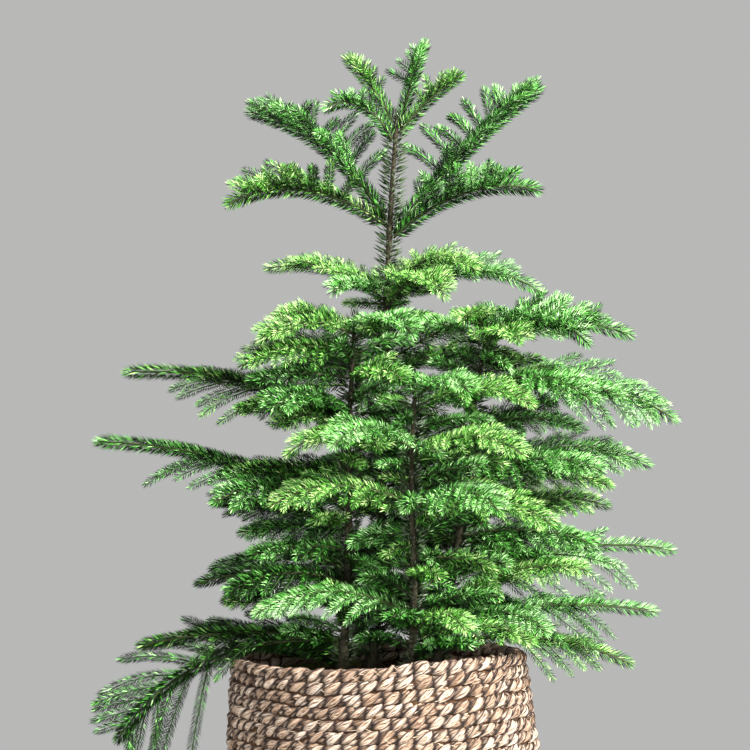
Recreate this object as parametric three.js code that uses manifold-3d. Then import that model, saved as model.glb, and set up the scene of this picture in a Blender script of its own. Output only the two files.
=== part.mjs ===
// A potted Norfolk Island pine: four seedling stems in one woven basket, with whorls of flat boughs
// that carry side shoots of needles. Millimetres, +Z up, the origin at the centre of the basket's
// flat underside. An azimuth is in degrees from +X towards +Y, and -Y is the front.
import * as THREE from "three";
import { mergeVertices } from "three/addons/utils/BufferGeometryUtils.js";
import Module from "manifold-3d";

const wasm = await Module();
wasm.setup();

// Gaps: a bough's foot stands this far from its stem, and shoots of two boughs this far apart.
const CLEARANCE = 0.3;
const SHOOT_CLEARANCE = 0.8;

// Basket: [height, radius] of the outside of its woven wall.
const BASKET_HEIGHT = 285;
const BASKET_PROFILE = [[0, 126], [40, 143], [100, 155], [160, 157], [225, 153], [285, 147]];
const BASKET_WALL = 10;
const BASKET_FLOOR = 9;
const BASKET_SIDES = 32;
const BASKET_WALL_STEPS = 7;
const FOOT_ROUND = 8;
const RIM_TURNS = [0, 45, 90, 135, 180];
const BULGE_DRIFT = 5.5;
const RIM_DRIFT = 1.5;
const RIM_RAISE = 8;
const RIM_RAISE_AZIMUTH = -38;
const RIM_RAISE_START = 0.72;

// Soil: the fill of the basket, level where the stems stand and lower at the wall.
const SOIL_TOP = 264;
const SOIL_LEVEL_RADIUS = 88;
const SOIL_EDGE_DROP = 7;

// Stems: [x, y] where each leaves the soil, [x, y, z] of its tip, and its radius at foot and tip.
const STEMS = {
  main: { foot: [-8, 30], tip: [17, 22, 826], footRadius: 5.6, tipRadius: 1.9 },
  left: { foot: [-38, -18], tip: [-24, -34, 624], footRadius: 4.6, tipRadius: 1.5 },
  front: { foot: [30, -58], tip: [34, -72, 554], footRadius: 4.3, tipRadius: 1.4 },
  right: { foot: [56, 6], tip: [110, -6, 624], footRadius: 4.8, tipRadius: 1.5 },
};
const STEM_SIDES = 8;
const STEM_STEPS = 11;
const STEM_RING_POWER = 1.6;
const STEM_SWAY = 2.2;
const FLARE = 0.9;
const FLARE_HEIGHT = 11;

// Whorls: the stem, the height where the boughs leave it, the lift in degrees of the side shoots
// above the bough's own plane, and for each bough its azimuth, length, rise and droop in degrees,
// the share of its length, at the tip, that has no side shoots, and the roll in degrees by which
// its plane is tipped, so that the shoots on its clockwise side stand higher. A last number, where
// there is one, is the share at its foot that has no side shoots.
const WHORLS = [
  ["main", 820, 30, [
    [158, 84, 62, 22, 0.1, 0, 0.42], [32, 92, 74, 8, 0.1, 0, 0.42],
    [345, 86, 52, 24, 0.1, 0, 0.42], [208, 90, 62, 96, 0.3, 0, 0.32],
  ]],
  ["main", 722, 35, [
    [150, 204, 54, 42, 0.1, 0, 0.24], [206, 180, 31, 58, 0.15, 0, 0.24],
    [28, 230, 48, 14, 0.1, 0, 0.3], [334, 168, 38, 52, 0.25, 0, 0.24],
  ]],
  ["main", 652, 20, [
    [168, 124, 26, 36, 0.25, 10], [354, 158, 28, 62, 0.3, -15],
    [60, 130, 40, 60, 0.1, 0], [300, 120, 42, 88, 0.1, -8],
  ]],
  ["main", 566, 0, [[44, 190, 20, 40, 0.2, -15], [128, 180, 20, 40, 0.2, 15]]],
  ["main", 470, -5, [[52, 200, 15, 40, 0.2, -15], [112, 210, 15, 40, 0.2, 10]]],
  ["main", 384, -10, [
    [26, 200, 12, 40, 0.2, -15], [88, 205, 10, 40, 0.2, 0], [154, 190, 12, 34, 0.2, 15],
  ]],
  ["left", 612, 20, [
    [190, 78, 24, 34, 0.2, 15], [216, 112, 20, 54, 0.1, 26], [306, 102, 36, 78, 0.1, -8],
  ]],
  ["left", 592, 8, [[186, 90, 10, 30, 0.1, 28], [210, 124, 14, 46, 0.1, 26]]],
  ["left", 526, 0, [[176, 224, 22, 26, 0.42, 12], [240, 148, 32, 62, 0.1, 12]]],
  ["left", 442, 0, [[184, 250, 22, 20, 0.4, 15], [216, 160, 26, 54, 0.15, 22]]],
  ["left", 422, -5, [[170, 134, 13, 14, 0.2, 20]]],
  ["left", 366, -5, [[179, 146, 9, 28, 0.4, 12], [214, 136, 18, 46, 0.1, 22]]],
  ["left", 302, -10, [[191, 251, 4, 62, 0.05, 68, 0.37]]],
  ["front", 540, 10, [[300, 104, 34, 66, 0.1, -10], [348, 120, 30, 66, 0.1, -16]]],
  ["front", 500, 5, [
    [204, 136, 22, 62, 0.2, 14], [236, 138, 28, 60, 0.1, 14], [322, 134, 26, 58, 0.1, -16],
  ]],
  ["front", 440, 0, [
    [206, 150, 24, 54, 0.1, 20], [304, 144, 28, 60, 0.1, -12], [336, 150, 24, 62, 0.1, -18],
  ]],
  ["front", 332, -5, [[196, 162, 28, 62, 0.1, 14]]],
  ["right", 612, 35, [
    [4, 142, 12, 34, 0.3, -15], [322, 124, 24, 66, 0.15, -16], [66, 130, 26, 50, 0.1, 0],
  ]],
  ["right", 556, 5, [[352, 200, 8, 42, 0.15, -28], [316, 152, 20, 56, 0.1, -20]]],
  ["right", 468, 0, [[4, 186, 24, 50, 0.2, -24], [330, 150, 24, 46, 0.1, -22]]],
  ["right", 418, 0, [[352, 147, 26, 44, 0.2, -20]]],
  ["right", 347, 0, [[6, 228, 28, 40, 0.4, -20], [330, 155, 32, 44, 0.1, -20]]],
  ["right", 320, -5, [[358, 204, 12, 22, 0.38, -18], [316, 134, 26, 58, 0.1, -14]]],
  ["right", 298, -5, [[350, 186, 9, 34, 0.3, -15]]],
];

// Boughs: a tapering limb that follows elevation = rise - droop * share ** DROOP_POWER.
const DROOP_POWER = 1.3;
const LIMB_STEPS = 24;
const LIMB_STRETCH = 45;
const LIMB_RADIUS = 0.9;
const LIMB_RADIUS_PER_LENGTH = 0.007;
const LIMB_TIP_RADIUS = 0.8;
const LIMB_TAPER = 0.8;
const WHORL_STAGGER = 6;

// Side shoots: they leave a bough to either side in turn, and clear of a neighbour or not at all.
const SHOOT_PITCH = 19;
const FEWEST_SHOOTS = 4;
const FIRST_SHOOT = 0.16;
const SHOOT_SHARE = 0.44;
const SHOOT_FULL_LENGTH = 200;
const SHOOT_LONGEST = 84;
const SHOOT_SHORTEST = 8;
const FULLNESS_FOOT = 0.55;
const FULLNESS_GAIN = 2.2;
const FULLNESS_FALL = 0.8;
const SHOOT_ANGLE_FOOT = 56;
const SHOOT_ANGLE_TIP = 36;
const SHOOT_ANGLE_PER_LIFT = 0.4;
const SHOOT_SAG = 0.16;
const SHOOT_SAG_LENGTH = 50;
const SHOOT_JITTER = 5;
const SHORTENED = [1, 0.75, 0.5];
const LEAST_SHOOT = 14;

// Needle sprays: half widths of the root and the core, reach of the needles' tips, and thickness.
const SPRAY_ROOT = 1.6;
const SPRAY_CORE = 2.2;
const NEEDLE_REACH = 11;
const NEEDLE_REACH_SHARE = 0.28;
const NEEDLE_ROOM = 0.85;
const NEEDLE_NARROWING = 0.45;
const SPRAY_THICKNESS = 1.5;
const SHOOT_TEETH = 2;
const TIP_TEETH = 3;
const TIP_SPRAY_SHARE = 0.24;
const TOOTH_LEAN = 0.92;

const SEED_FACTOR = 16807;
const SEED_MODULUS = 2147483647;
const SEED_STEP = 7919;

const UP = new THREE.Vector3(0, 0, 1);
const radians = THREE.MathUtils.degToRad;

// Materials.
const strandMaterial = new THREE.MeshStandardMaterial({ color: 0xb79a7c, roughness: 0.85, metalness: 0 });
const soilMaterial = new THREE.MeshStandardMaterial({ color: 0x2b251d, roughness: 1, metalness: 0 });
const barkMaterial = new THREE.MeshStandardMaterial({ color: 0x4d4a36, roughness: 0.9, metalness: 0 });
const needleMaterials = {
  main: new THREE.MeshStandardMaterial({ color: 0x2f7a34, roughness: 0.55, metalness: 0 }),
  left: new THREE.MeshStandardMaterial({ color: 0x2c7031, roughness: 0.55, metalness: 0 }),
  front: new THREE.MeshStandardMaterial({ color: 0x3f9440, roughness: 0.55, metalness: 0 }),
  right: new THREE.MeshStandardMaterial({ color: 0x37883a, roughness: 0.55, metalness: 0 }),
};

// Repeatable numbers between 0 and 1.
function seededNumbers(seed) {
  let state = seed;
  return () => {
    state = (state * SEED_FACTOR) % SEED_MODULUS;
    return state / SEED_MODULUS;
  };
}

// Move each vertex of a geometry to where the function puts it.
function bend(geometry, placed) {
  const position = geometry.getAttribute("position");
  const point = new THREE.Vector3();
  for (let i = 0; i < position.count; i += 1) {
    point.copy(placed(point.fromBufferAttribute(position, i)));
    position.setXYZ(i, point.x, point.y, point.z);
  }
  return geometry;
}

// A closed geometry as a solid whose distance to others can be measured.
function solidOf(geometry) {
  const bare = new THREE.BufferGeometry();
  bare.setAttribute("position", geometry.getAttribute("position"));
  bare.setIndex(geometry.index);
  const merged = mergeVertices(bare);
  const corners = merged.index.array;
  const kept = [];
  for (let i = 0; i < corners.length; i += 3) {
    const [a, b, c] = [corners[i], corners[i + 1], corners[i + 2]];
    if (a !== b && b !== c && c !== a) kept.push(a, b, c);
  }
  const vertProperties = new Float32Array(merged.getAttribute("position").array);
  return new wasm.Manifold(new wasm.Mesh({ numProp: 3, vertProperties, triVerts: new Uint32Array(kept) }));
}

function meshOf(name, geometry, material) {
  const mesh = new THREE.Mesh(geometry, material);
  mesh.name = name;
  return mesh;
}

// The outer wall as a smooth curve of (radius, height), from the underside up to the rim.
const wallPoints = BASKET_PROFILE.map(([height, radius]) => new THREE.Vector2(radius, height));
const basketCurve = new THREE.SplineCurve(wallPoints);

// The basket's lean: its belly bulges to one side.
function leaned(point) {
  const share = point.z / BASKET_HEIGHT;
  const drift = BULGE_DRIFT * Math.sin(Math.PI * share) - RIM_DRIFT * share;
  return new THREE.Vector3(point.x + drift, point.y, point.z);
}

// The rim rises towards the front right.
function raised(point) {
  const azimuth = Math.atan2(point.y, point.x);
  const towards = Math.max(0, Math.cos(azimuth - radians(RIM_RAISE_AZIMUTH)));
  const upper = THREE.MathUtils.smoothstep(point.z / BASKET_HEIGHT, RIM_RAISE_START, 1);
  return new THREE.Vector3(point.x, point.y, point.z + RIM_RAISE * towards ** 2 * upper);
}

// A closed round solid from a profile of (radius, height), turned to stand on +Z.
function turned(profile, sides) {
  const geometry = new THREE.LatheGeometry(profile, sides);
  geometry.rotateX(Math.PI / 2);
  return bend(geometry, leaned);
}

function basketGeometry() {
  const wall = basketCurve.getSpacedPoints(BASKET_WALL_STEPS);
  const footRadius = wall[0].x;
  const profile = [new THREE.Vector2(0, 0), new THREE.Vector2(footRadius - FOOT_ROUND, 0)];
  profile.push(new THREE.Vector2(footRadius + FOOT_ROUND / 4, FOOT_ROUND));
  wall.slice(1, -1).forEach((point) => profile.push(point));
  const rim = wall[wall.length - 1];
  const half = BASKET_WALL / 2;
  for (const turn of RIM_TURNS) {
    const across = rim.x - half + half * Math.cos(radians(turn));
    profile.push(new THREE.Vector2(across, rim.y - half + half * Math.sin(radians(turn))));
  }
  wall.slice(1, -1).reverse().forEach((point) => {
    profile.push(new THREE.Vector2(point.x - BASKET_WALL, point.y));
  });
  profile.push(new THREE.Vector2(footRadius - BASKET_WALL, BASKET_FLOOR));
  profile.push(new THREE.Vector2(0, BASKET_FLOOR));
  return bend(turned(profile, BASKET_SIDES), raised);
}

// The soil follows the inside of the wall, one clearance away from it.
function soilGeometry() {
  const wall = basketCurve.getSpacedPoints(BASKET_WALL_STEPS);
  const inside = BASKET_WALL + 2 * CLEARANCE;
  const edge = SOIL_TOP - SOIL_EDGE_DROP;
  const profile = [new THREE.Vector2(0, BASKET_FLOOR + CLEARANCE)];
  profile.push(new THREE.Vector2(wall[0].x - inside, BASKET_FLOOR + CLEARANCE));
  wall.slice(1).filter((point) => point.y < edge).forEach((point) => {
    profile.push(new THREE.Vector2(point.x - inside, point.y));
  });
  profile.push(new THREE.Vector2(wall[wall.length - 1].x - inside, edge));
  profile.push(new THREE.Vector2(SOIL_LEVEL_RADIUS, SOIL_TOP), new THREE.Vector2(0, SOIL_TOP));
  return turned(profile, BASKET_SIDES);
}

// The middle of a stem at a height: a straight lean with a slight sway.
function stemPoint(stem, height) {
  const { foot, tip } = STEMS[stem];
  const share = (height - SOIL_TOP) / (tip[2] - SOIL_TOP);
  const [x, y] = [0, 1].map((i) => foot[i] + (tip[i] - foot[i]) * share);
  return new THREE.Vector3(x + STEM_SWAY * Math.sin(2 * Math.PI * share), y, height);
}

function stemRadius(stem, height) {
  const { tip, footRadius, tipRadius } = STEMS[stem];
  const share = (height - SOIL_TOP) / (tip[2] - SOIL_TOP);
  const flare = 1 + FLARE * Math.exp(-(height - SOIL_TOP) / FLARE_HEIGHT);
  return (footRadius + (tipRadius - footRadius) * share) * flare;
}

// How far a stem moves sideways for each millimetre that it rises.
function stemLean(stem) {
  const { foot, tip } = STEMS[stem];
  return Math.hypot(tip[0] - foot[0], tip[1] - foot[1]) / (tip[2] - SOIL_TOP);
}

// A stem from its flat cut just above the soil to its tip, with closer rings at the root flare.
function stemGeometry(stem) {
  const start = SOIL_TOP + CLEARANCE;
  const reach = STEMS[stem].tip[2] - start;
  return bend(new THREE.CylinderGeometry(1, 1, 1, STEM_SIDES, STEM_STEPS), (point) => {
    const height = start + reach * (point.y + 0.5) ** STEM_RING_POWER;
    const radius = stemRadius(stem, height);
    return stemPoint(stem, height).add(new THREE.Vector3(point.x * radius, -point.z * radius, 0));
  });
}

// A bough's limb: points along it, with the direction and the level sideways direction at each.
function limbOf(stem, height, lift, [azimuth, length, rise, droop, bare, roll, first = FIRST_SHOOT]) {
  const heading = new THREE.Vector3(Math.cos(radians(azimuth)), Math.sin(radians(azimuth)), 0);
  const sideways = new THREE.Vector3().crossVectors(heading, UP);
  const radius = LIMB_RADIUS + LIMB_RADIUS_PER_LENGTH * length;
  const direction = (share) => {
    const elevation = radians(rise - droop * share ** DROOP_POWER);
    return heading.clone().multiplyScalar(Math.cos(elevation)).addScaledVector(UP, Math.sin(elevation));
  };
  const tilt = Math.sin(radians(rise)) + stemLean(stem);
  const standoff = stemRadius(stem, height) + CLEARANCE + radius * tilt;
  const points = [stemPoint(stem, height).addScaledVector(heading, standoff)];
  for (let i = 0; i < LIMB_STEPS; i += 1) {
    const step = direction((i + 0.5) / LIMB_STEPS).multiplyScalar(length / LIMB_STEPS);
    points.push(points[i].clone().add(step));
  }
  const at = (share) => {
    const step = Math.min(Math.floor(share * LIMB_STEPS), LIMB_STEPS - 1);
    return points[step].clone().lerp(points[step + 1], share * LIMB_STEPS - step);
  };
  const tipStart = 1 - Math.max(bare, TIP_SPRAY_SHARE);
  return { at, direction, sideways, radius, length, lift, roll, first, tipStart };
}

// The side shoots of a limb by the plant's rule: they stand to either side in turn, longest near
// the foot, and lean forward, lifted above or hanging below the limb's plane, which is rolled. Young,
// short limbs have shorter ones for their length.
function sideShoots(limb, draw) {
  const stretch = limb.tipStart - limb.first;
  const count = Math.max(FEWEST_SHOOTS, Math.round((stretch * limb.length) / SHOOT_PITCH));
  const fullest = SHOOT_SHARE * limb.length * Math.sqrt(limb.length / SHOOT_FULL_LENGTH);
  const shoots = [];
  for (let i = 0; i < count; i += 1) {
    const share = limb.first + (stretch * (i + 0.5)) / count;
    const side = i % 2 === 0 ? 1 : -1;
    const outward = (share - limb.first) / (1 - limb.first);
    const fullness = Math.min(1, FULLNESS_FOOT + FULLNESS_GAIN * outward) * (1 - outward) ** FULLNESS_FALL;
    const length = Math.min(SHOOT_LONGEST, fullest * fullness + SHOOT_SHORTEST);
    const spread = SHOOT_ANGLE_FOOT * (1 - outward) + SHOOT_ANGLE_TIP * outward;
    const angle = spread + SHOOT_ANGLE_PER_LIFT * limb.lift;
    const turn = radians(angle + SHOOT_JITTER * (2 * draw() - 1));
    const reach = NEEDLE_ROOM * ((stretch * limb.length) / count) * Math.sin(turn);
    const lift = radians(limb.lift + side * limb.roll + SHOOT_JITTER * (2 * draw() - 1));
    shoots.push({ share, side, length, turn, lift, reach });
  }
  return shoots;
}

// A side shoot's path: straight out at its angle, sagging with the square of the distance, and a
// long shoot more than a short one.
function shootPath(limb, shoot) {
  const along = limb.direction(shoot.share);
  const above = new THREE.Vector3().crossVectors(limb.sideways, along);
  const out = limb.sideways.clone().multiplyScalar(shoot.side * Math.cos(shoot.lift));
  out.addScaledVector(above, Math.sin(shoot.lift));
  const heading = along.clone().multiplyScalar(Math.cos(shoot.turn));
  heading.addScaledVector(out, Math.sin(shoot.turn));
  const foot = limb.at(shoot.share);
  const sag = (SHOOT_SAG * shoot.length) / SHOOT_SAG_LENGTH;
  return (share) => {
    const middle = foot.clone().addScaledVector(heading, shoot.length * share);
    middle.addScaledVector(UP, -sag * shoot.length * share ** 2);
    const direction = heading.clone().addScaledVector(UP, -2 * sag * share).normalize();
    const across = along.clone().addScaledVector(direction, -along.dot(direction)).normalize();
    const normal = new THREE.Vector3().crossVectors(direction, across).multiplyScalar(shoot.side);
    return { middle, across, normal };
  };
}

// One edge of a spray, from root to tip, as [distance, reach]: needles that lean forward from a
// slim core and get shorter towards the tip.
function toothedEdge(length, teeth, room = NEEDLE_REACH) {
  const stride = length / (teeth + 0.5);
  const reach = Math.min(NEEDLE_REACH, NEEDLE_REACH_SHARE * length, room);
  const edge = [];
  for (let i = 0; i < teeth; i += 1) {
    const narrowing = 1 - NEEDLE_NARROWING * (i / teeth) ** 2;
    if (i > 0) edge.push([i * stride, SPRAY_CORE * narrowing]);
    edge.push([(i + TOOTH_LEAN) * stride, reach * narrowing]);
  }
  return edge;
}

// A corner of a bough's plate: its place on the flat cutting pattern, and above and below in space.
function cornerOf(flatX, flatY, middle, normal, halfThickness) {
  const top = middle.clone().addScaledVector(normal, halfThickness);
  const bottom = middle.clone().addScaledVector(normal, -halfThickness);
  return { flat: new THREE.Vector2(flatX, flatY), top, bottom };
}

function sprayCorner(flatX, flatY, middle, normal) {
  return { ...cornerOf(flatX, flatY, middle, normal, SPRAY_THICKNESS / 2), spray: true };
}

function limbCorner(limb, share, side) {
  const radius = LIMB_TIP_RADIUS + (limb.radius - LIMB_TIP_RADIUS) * (1 - share) ** LIMB_TAPER;
  const middle = limb.at(share).addScaledVector(limb.sideways, side * radius);
  const normal = new THREE.Vector3().crossVectors(limb.sideways, limb.direction(share));
  return cornerOf(share * limb.length, -side * radius, middle, normal, radius);
}

// The corners round one side shoot: the limb's edge, the shoot's rear needles, its tip, its front
// needles, and the limb's edge again.
function shootCorners(limb, shoot) {
  const path = shootPath(limb, shoot);
  const edge = toothedEdge(shoot.length, SHOOT_TEETH, shoot.reach);
  const rear = edge.map(([distance, reach]) => [distance, -reach]);
  const front = [...edge].reverse();
  const round = [...rear, [shoot.length, 0], ...front].map(([distance, reach]) => {
    const { middle, across, normal } = path(distance / shoot.length);
    const flatX = shoot.share * limb.length + distance * Math.cos(shoot.turn) + reach * Math.sin(shoot.turn);
    const flatY = shoot.side * (reach * Math.cos(shoot.turn) - distance * Math.sin(shoot.turn));
    return sprayCorner(flatX, flatY, middle.addScaledVector(across, reach), normal);
  });
  const root = SPRAY_ROOT / limb.length;
  const [rearRoot, frontRoot] = [-root, root].map((gap) => limbCorner(limb, shoot.share + gap, shoot.side));
  return [rearRoot, ...round, frontRoot];
}

// The corners along one side of the shoot at the limb's tip.
function tipCorners(limb, side) {
  const length = (1 - limb.tipStart) * limb.length;
  return toothedEdge(length, TIP_TEETH).map(([distance, reach]) => {
    const share = limb.tipStart + distance / limb.length;
    const middle = limb.at(share).addScaledVector(limb.sideways, side * reach);
    const normal = new THREE.Vector3().crossVectors(limb.sideways, limb.direction(share));
    return sprayCorner(share * limb.length, -side * reach, middle, normal);
  });
}

// One edge of a bough from foot to tip, with corners close enough together to follow the limb.
function boughEdge(limb, shoots, side) {
  const root = SPRAY_ROOT / limb.length;
  const edge = [limbCorner(limb, 0, side)];
  let reached = 0;
  const followTo = (share) => {
    const pieces = Math.ceil(((share - reached) * limb.length) / LIMB_STRETCH);
    for (let i = 1; i < pieces; i += 1) {
      edge.push(limbCorner(limb, reached + ((share - reached) * i) / pieces, side));
    }
    reached = share;
  };
  for (const shoot of shoots.filter((each) => each.side === side)) {
    followTo(shoot.share - root);
    edge.push(...shootCorners(limb, shoot));
    reached = shoot.share + root;
  }
  followTo(limb.tipStart);
  edge.push(limbCorner(limb, limb.tipStart, side), ...tipCorners(limb, side));
  return edge;
}

// Triangles of a spray from its two root corners to its tip, in strips straight across it, so that
// they follow its bend.
function sprayTriangles(round) {
  const triangles = [];
  for (let i = 0, j = round.length - 1; i + 1 < j; i += 1, j -= 1) {
    triangles.push([round[i], round[i + 1], round[j]]);
    if (i + 1 < j - 1) triangles.push([round[i + 1], round[j - 1], round[j]]);
  }
  return triangles;
}

// Triangles of a limb between its two edges, from foot to tip, whichever edge has the nearer corner.
function limbTriangles(right, left, corners) {
  const triangles = [];
  const place = (i) => corners[i]?.flat.x ?? Infinity;
  let i = 0;
  let j = 0;
  while (i + 1 < right.length || j + 1 < left.length) {
    if (place(right[i + 1]) <= place(left[j + 1])) {
      triangles.push([right[i], right[i + 1], left[j]]);
      i += 1;
    } else {
      triangles.push([right[i], left[j + 1], left[j]]);
      j += 1;
    }
  }
  return triangles;
}

// The triangles of a plate's upper side: each spray by itself, then the limb between them.
function lidTriangles(corners) {
  const triangles = [];
  const limb = [];
  let round = [];
  corners.forEach((corner, i) => {
    round.push(i);
    if (corner.spray) return;
    triangles.push(...sprayTriangles(round));
    limb.push(i);
    round = [i];
  });
  if (limb.length < 3) return triangles;
  const right = limb.filter((i) => corners[i].flat.y < 0);
  const left = limb.filter((i) => corners[i].flat.y > 0).reverse();
  return [...triangles, ...limbTriangles(right, left, corners)];
}

// A thin closed plate with its corners in turn, anticlockwise as seen from above.
function plateGeometry(corners) {
  const count = corners.length;
  const lids = lidTriangles(corners);
  const index = lids.flatMap(([a, b, c]) => [a, b, c, c + count, b + count, a + count]);
  for (let i = 0; i < count; i += 1) {
    const next = (i + 1) % count;
    index.push(i + count, next + count, next, i + count, next, i);
  }
  const points = [...corners.map((corner) => corner.top), ...corners.map((corner) => corner.bottom)];
  const geometry = new THREE.BufferGeometry().setFromPoints(points);
  geometry.setIndex(index);
  geometry.computeVertexNormals();
  return geometry;
}

// One bough as a plate in one piece: its outline runs out along one side of the limb, round each
// side shoot and the tip, and back along the other side.
function boughGeometry(limb, shoots) {
  const tip = sprayCorner(limb.length, 0, limb.at(1), UP);
  return plateGeometry([...boughEdge(limb, shoots, 1), tip, ...boughEdge(limb, shoots, -1).reverse()]);
}

function shootGeometry(limb, shoot) {
  const corners = shootCorners(limb, shoot);
  return plateGeometry(shoot.side === 1 ? corners : corners.reverse());
}

// Every solid that is placed, with its owner, so that later shoots can keep clear of it.
const placed = [];

function boxesMeet(a, b, gap) {
  return [0, 1, 2].every((i) => a.min[i] - gap < b.max[i] && b.min[i] - gap < a.max[i]);
}

function isClear(solid, owner, gap) {
  const box = solid.boundingBox();
  return placed.every((other) => other.owner === owner || !boxesMeet(box, other.box, gap)
    || solid.minGap(other.solid, gap) >= gap);
}

function place(solid, owner) {
  placed.push({ solid, owner, box: solid.boundingBox() });
}

const pine = new THREE.Group();

const basket = basketGeometry();
place(solidOf(basket), "basket");
pine.add(meshOf("basket", basket, strandMaterial));

const soil = soilGeometry();
place(solidOf(soil), "soil");
pine.add(meshOf("soil", soil, soilMaterial));

for (const stem of Object.keys(STEMS)) {
  const geometry = stemGeometry(stem);
  place(solidOf(geometry), `stem_${stem}`);
  pine.add(meshOf(`stem_${stem}`, geometry, barkMaterial));
}

// All limbs stand before any side shoot grows, so that no shoot takes a limb's place.
const boughs = [];
const whorlCount = {};
for (const [stem, height, lift, rows] of WHORLS) {
  whorlCount[stem] = (whorlCount[stem] ?? 0) + 1;
  rows.forEach((row, i) => {
    const name = `bough_${stem}_${whorlCount[stem]}_${i + 1}`;
    const limb = limbOf(stem, height - WHORL_STAGGER * i, lift, row);
    const solid = solidOf(boughGeometry(limb, []));
    place(solid, name);
    boughs.push({ name, stem, limb });
  });
}

// Each side shoot grows at its full length, shorter, or not at all, as its neighbours leave room.
boughs.forEach(({ name, stem, limb }, i) => {
  const shoots = [];
  for (const shoot of sideShoots(limb, seededNumbers((i + 1) * SEED_STEP))) {
    for (const share of SHORTENED) {
      const grown = { ...shoot, length: share * shoot.length };
      if (grown.length < LEAST_SHOOT) break;
      const solid = solidOf(shootGeometry(limb, grown));
      if (isClear(solid, name, SHOOT_CLEARANCE)) {
        place(solid, name);
        shoots.push(grown);
        break;
      }
    }
  }
  pine.add(meshOf(name, boughGeometry(limb, shoots), needleMaterials[stem]));
});

export default pine;
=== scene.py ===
# %% [markdown]
# # A potted Norfolk Island pine
# The plant is a clump of four seedling stems in a round basket of twisted plant fibre. Each stem
# carries whorls of flat boughs, each bough carries side shoots, and every shoot is covered in short
# curved needles. This lesson grows the plant from a few rules with numpy arrays: first the stems,
# then the limbs, the side shoots and the needles, and last the soil and the woven basket.
# All sizes are in millimetres, with +Z up and the origin under the middle of the basket, and they
# become metres only when an array is put into a mesh.

import bpy
import numpy as np
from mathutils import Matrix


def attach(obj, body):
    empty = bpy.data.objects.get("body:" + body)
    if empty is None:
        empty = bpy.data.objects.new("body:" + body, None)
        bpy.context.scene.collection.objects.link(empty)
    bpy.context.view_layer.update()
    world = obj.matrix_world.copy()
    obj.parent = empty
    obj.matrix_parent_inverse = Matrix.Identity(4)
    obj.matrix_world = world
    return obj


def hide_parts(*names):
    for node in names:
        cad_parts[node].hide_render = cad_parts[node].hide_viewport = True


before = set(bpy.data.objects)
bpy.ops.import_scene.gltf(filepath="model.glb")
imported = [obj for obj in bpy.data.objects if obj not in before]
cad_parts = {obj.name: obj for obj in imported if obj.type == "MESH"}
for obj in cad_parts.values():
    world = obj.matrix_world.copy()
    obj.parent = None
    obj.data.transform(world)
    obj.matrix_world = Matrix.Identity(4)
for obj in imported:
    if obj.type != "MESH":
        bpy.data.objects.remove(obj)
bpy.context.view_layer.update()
MM = 0.001
UP = np.array([0.0, 0.0, 1.0])
bough_nodes = sorted(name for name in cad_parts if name.startswith("bough_"))
stem_nodes = sorted(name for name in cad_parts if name.startswith("stem_"))
print("solids in the frame:", len(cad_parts), "of them boughs:", len(bough_nodes))

# %% [markdown]
# ## The camera
# The picture is taken level, from 2.6 m in front of the plant at the height of the middle of the
# crown, so upright things stay upright. At that distance one picture point is one millimetre at the
# plant, and the lens follows from that: focal length = sensor * distance / width of the view.

# %% Camera
VIEW_WIDTH = 750.0
VIEW_DISTANCE = 2600.0
VIEW_CENTRE = (-5.0, 565.0)
SENSOR = 36.0
camera_data = bpy.data.cameras.new("camera")
camera_data.sensor_width = SENSOR
camera_data.lens = SENSOR * VIEW_DISTANCE / VIEW_WIDTH
camera = bpy.data.objects.new("camera", camera_data)
camera.location = (VIEW_CENTRE[0] * MM, -VIEW_DISTANCE * MM, VIEW_CENTRE[1] * MM)
camera.rotation_euler = (np.pi / 2, 0.0, 0.0)
bpy.context.scene.collection.objects.link(camera)
bpy.context.scene.camera = camera
print("lens", round(camera_data.lens, 1), "mm")

# %% [markdown]
# ## Helpers for arrays
# Every piece below is a block of points and a block of faces. One helper puts such blocks into a
# mesh with foreach_set, which is far quicker than adding faces one by one, and lets the piece ride
# on the plant's one body. The others handle directions and join blocks end to end.

# %% Array helpers
def unit(vectors):
    """Each vector divided by its own length."""
    return vectors / np.linalg.norm(vectors, axis=-1, keepdims=True)


def square_to(vectors, axis):
    """The part of each vector that is square to a unit axis, v - (v . axis) * axis, at length 1."""
    return unit(vectors - np.sum(vectors * axis, axis=-1, keepdims=True) * axis)


def level(azimuth):
    """Unit vectors along compass directions: (cos azimuth, sin azimuth, 0)."""
    return np.stack([np.cos(azimuth), np.sin(azimuth), 0.0 * azimuth], axis=-1)


def joined(blocks):
    """Dictionaries of arrays with the same keys, joined end to end."""
    return {key: np.concatenate([block[key] for block in blocks]) for key in blocks[0]}


def joined_meshes(blocks):
    """Several (points, faces, and maybe corner values) as one mesh, with the faces numbered on."""
    points, faces, *others = zip(*blocks)
    starts = np.cumsum([0] + [len(block) for block in points[:-1]])
    faces = [block + start for block, start in zip(faces, starts)]
    return tuple(np.concatenate(parts) for parts in (points, faces, *others))


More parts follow.
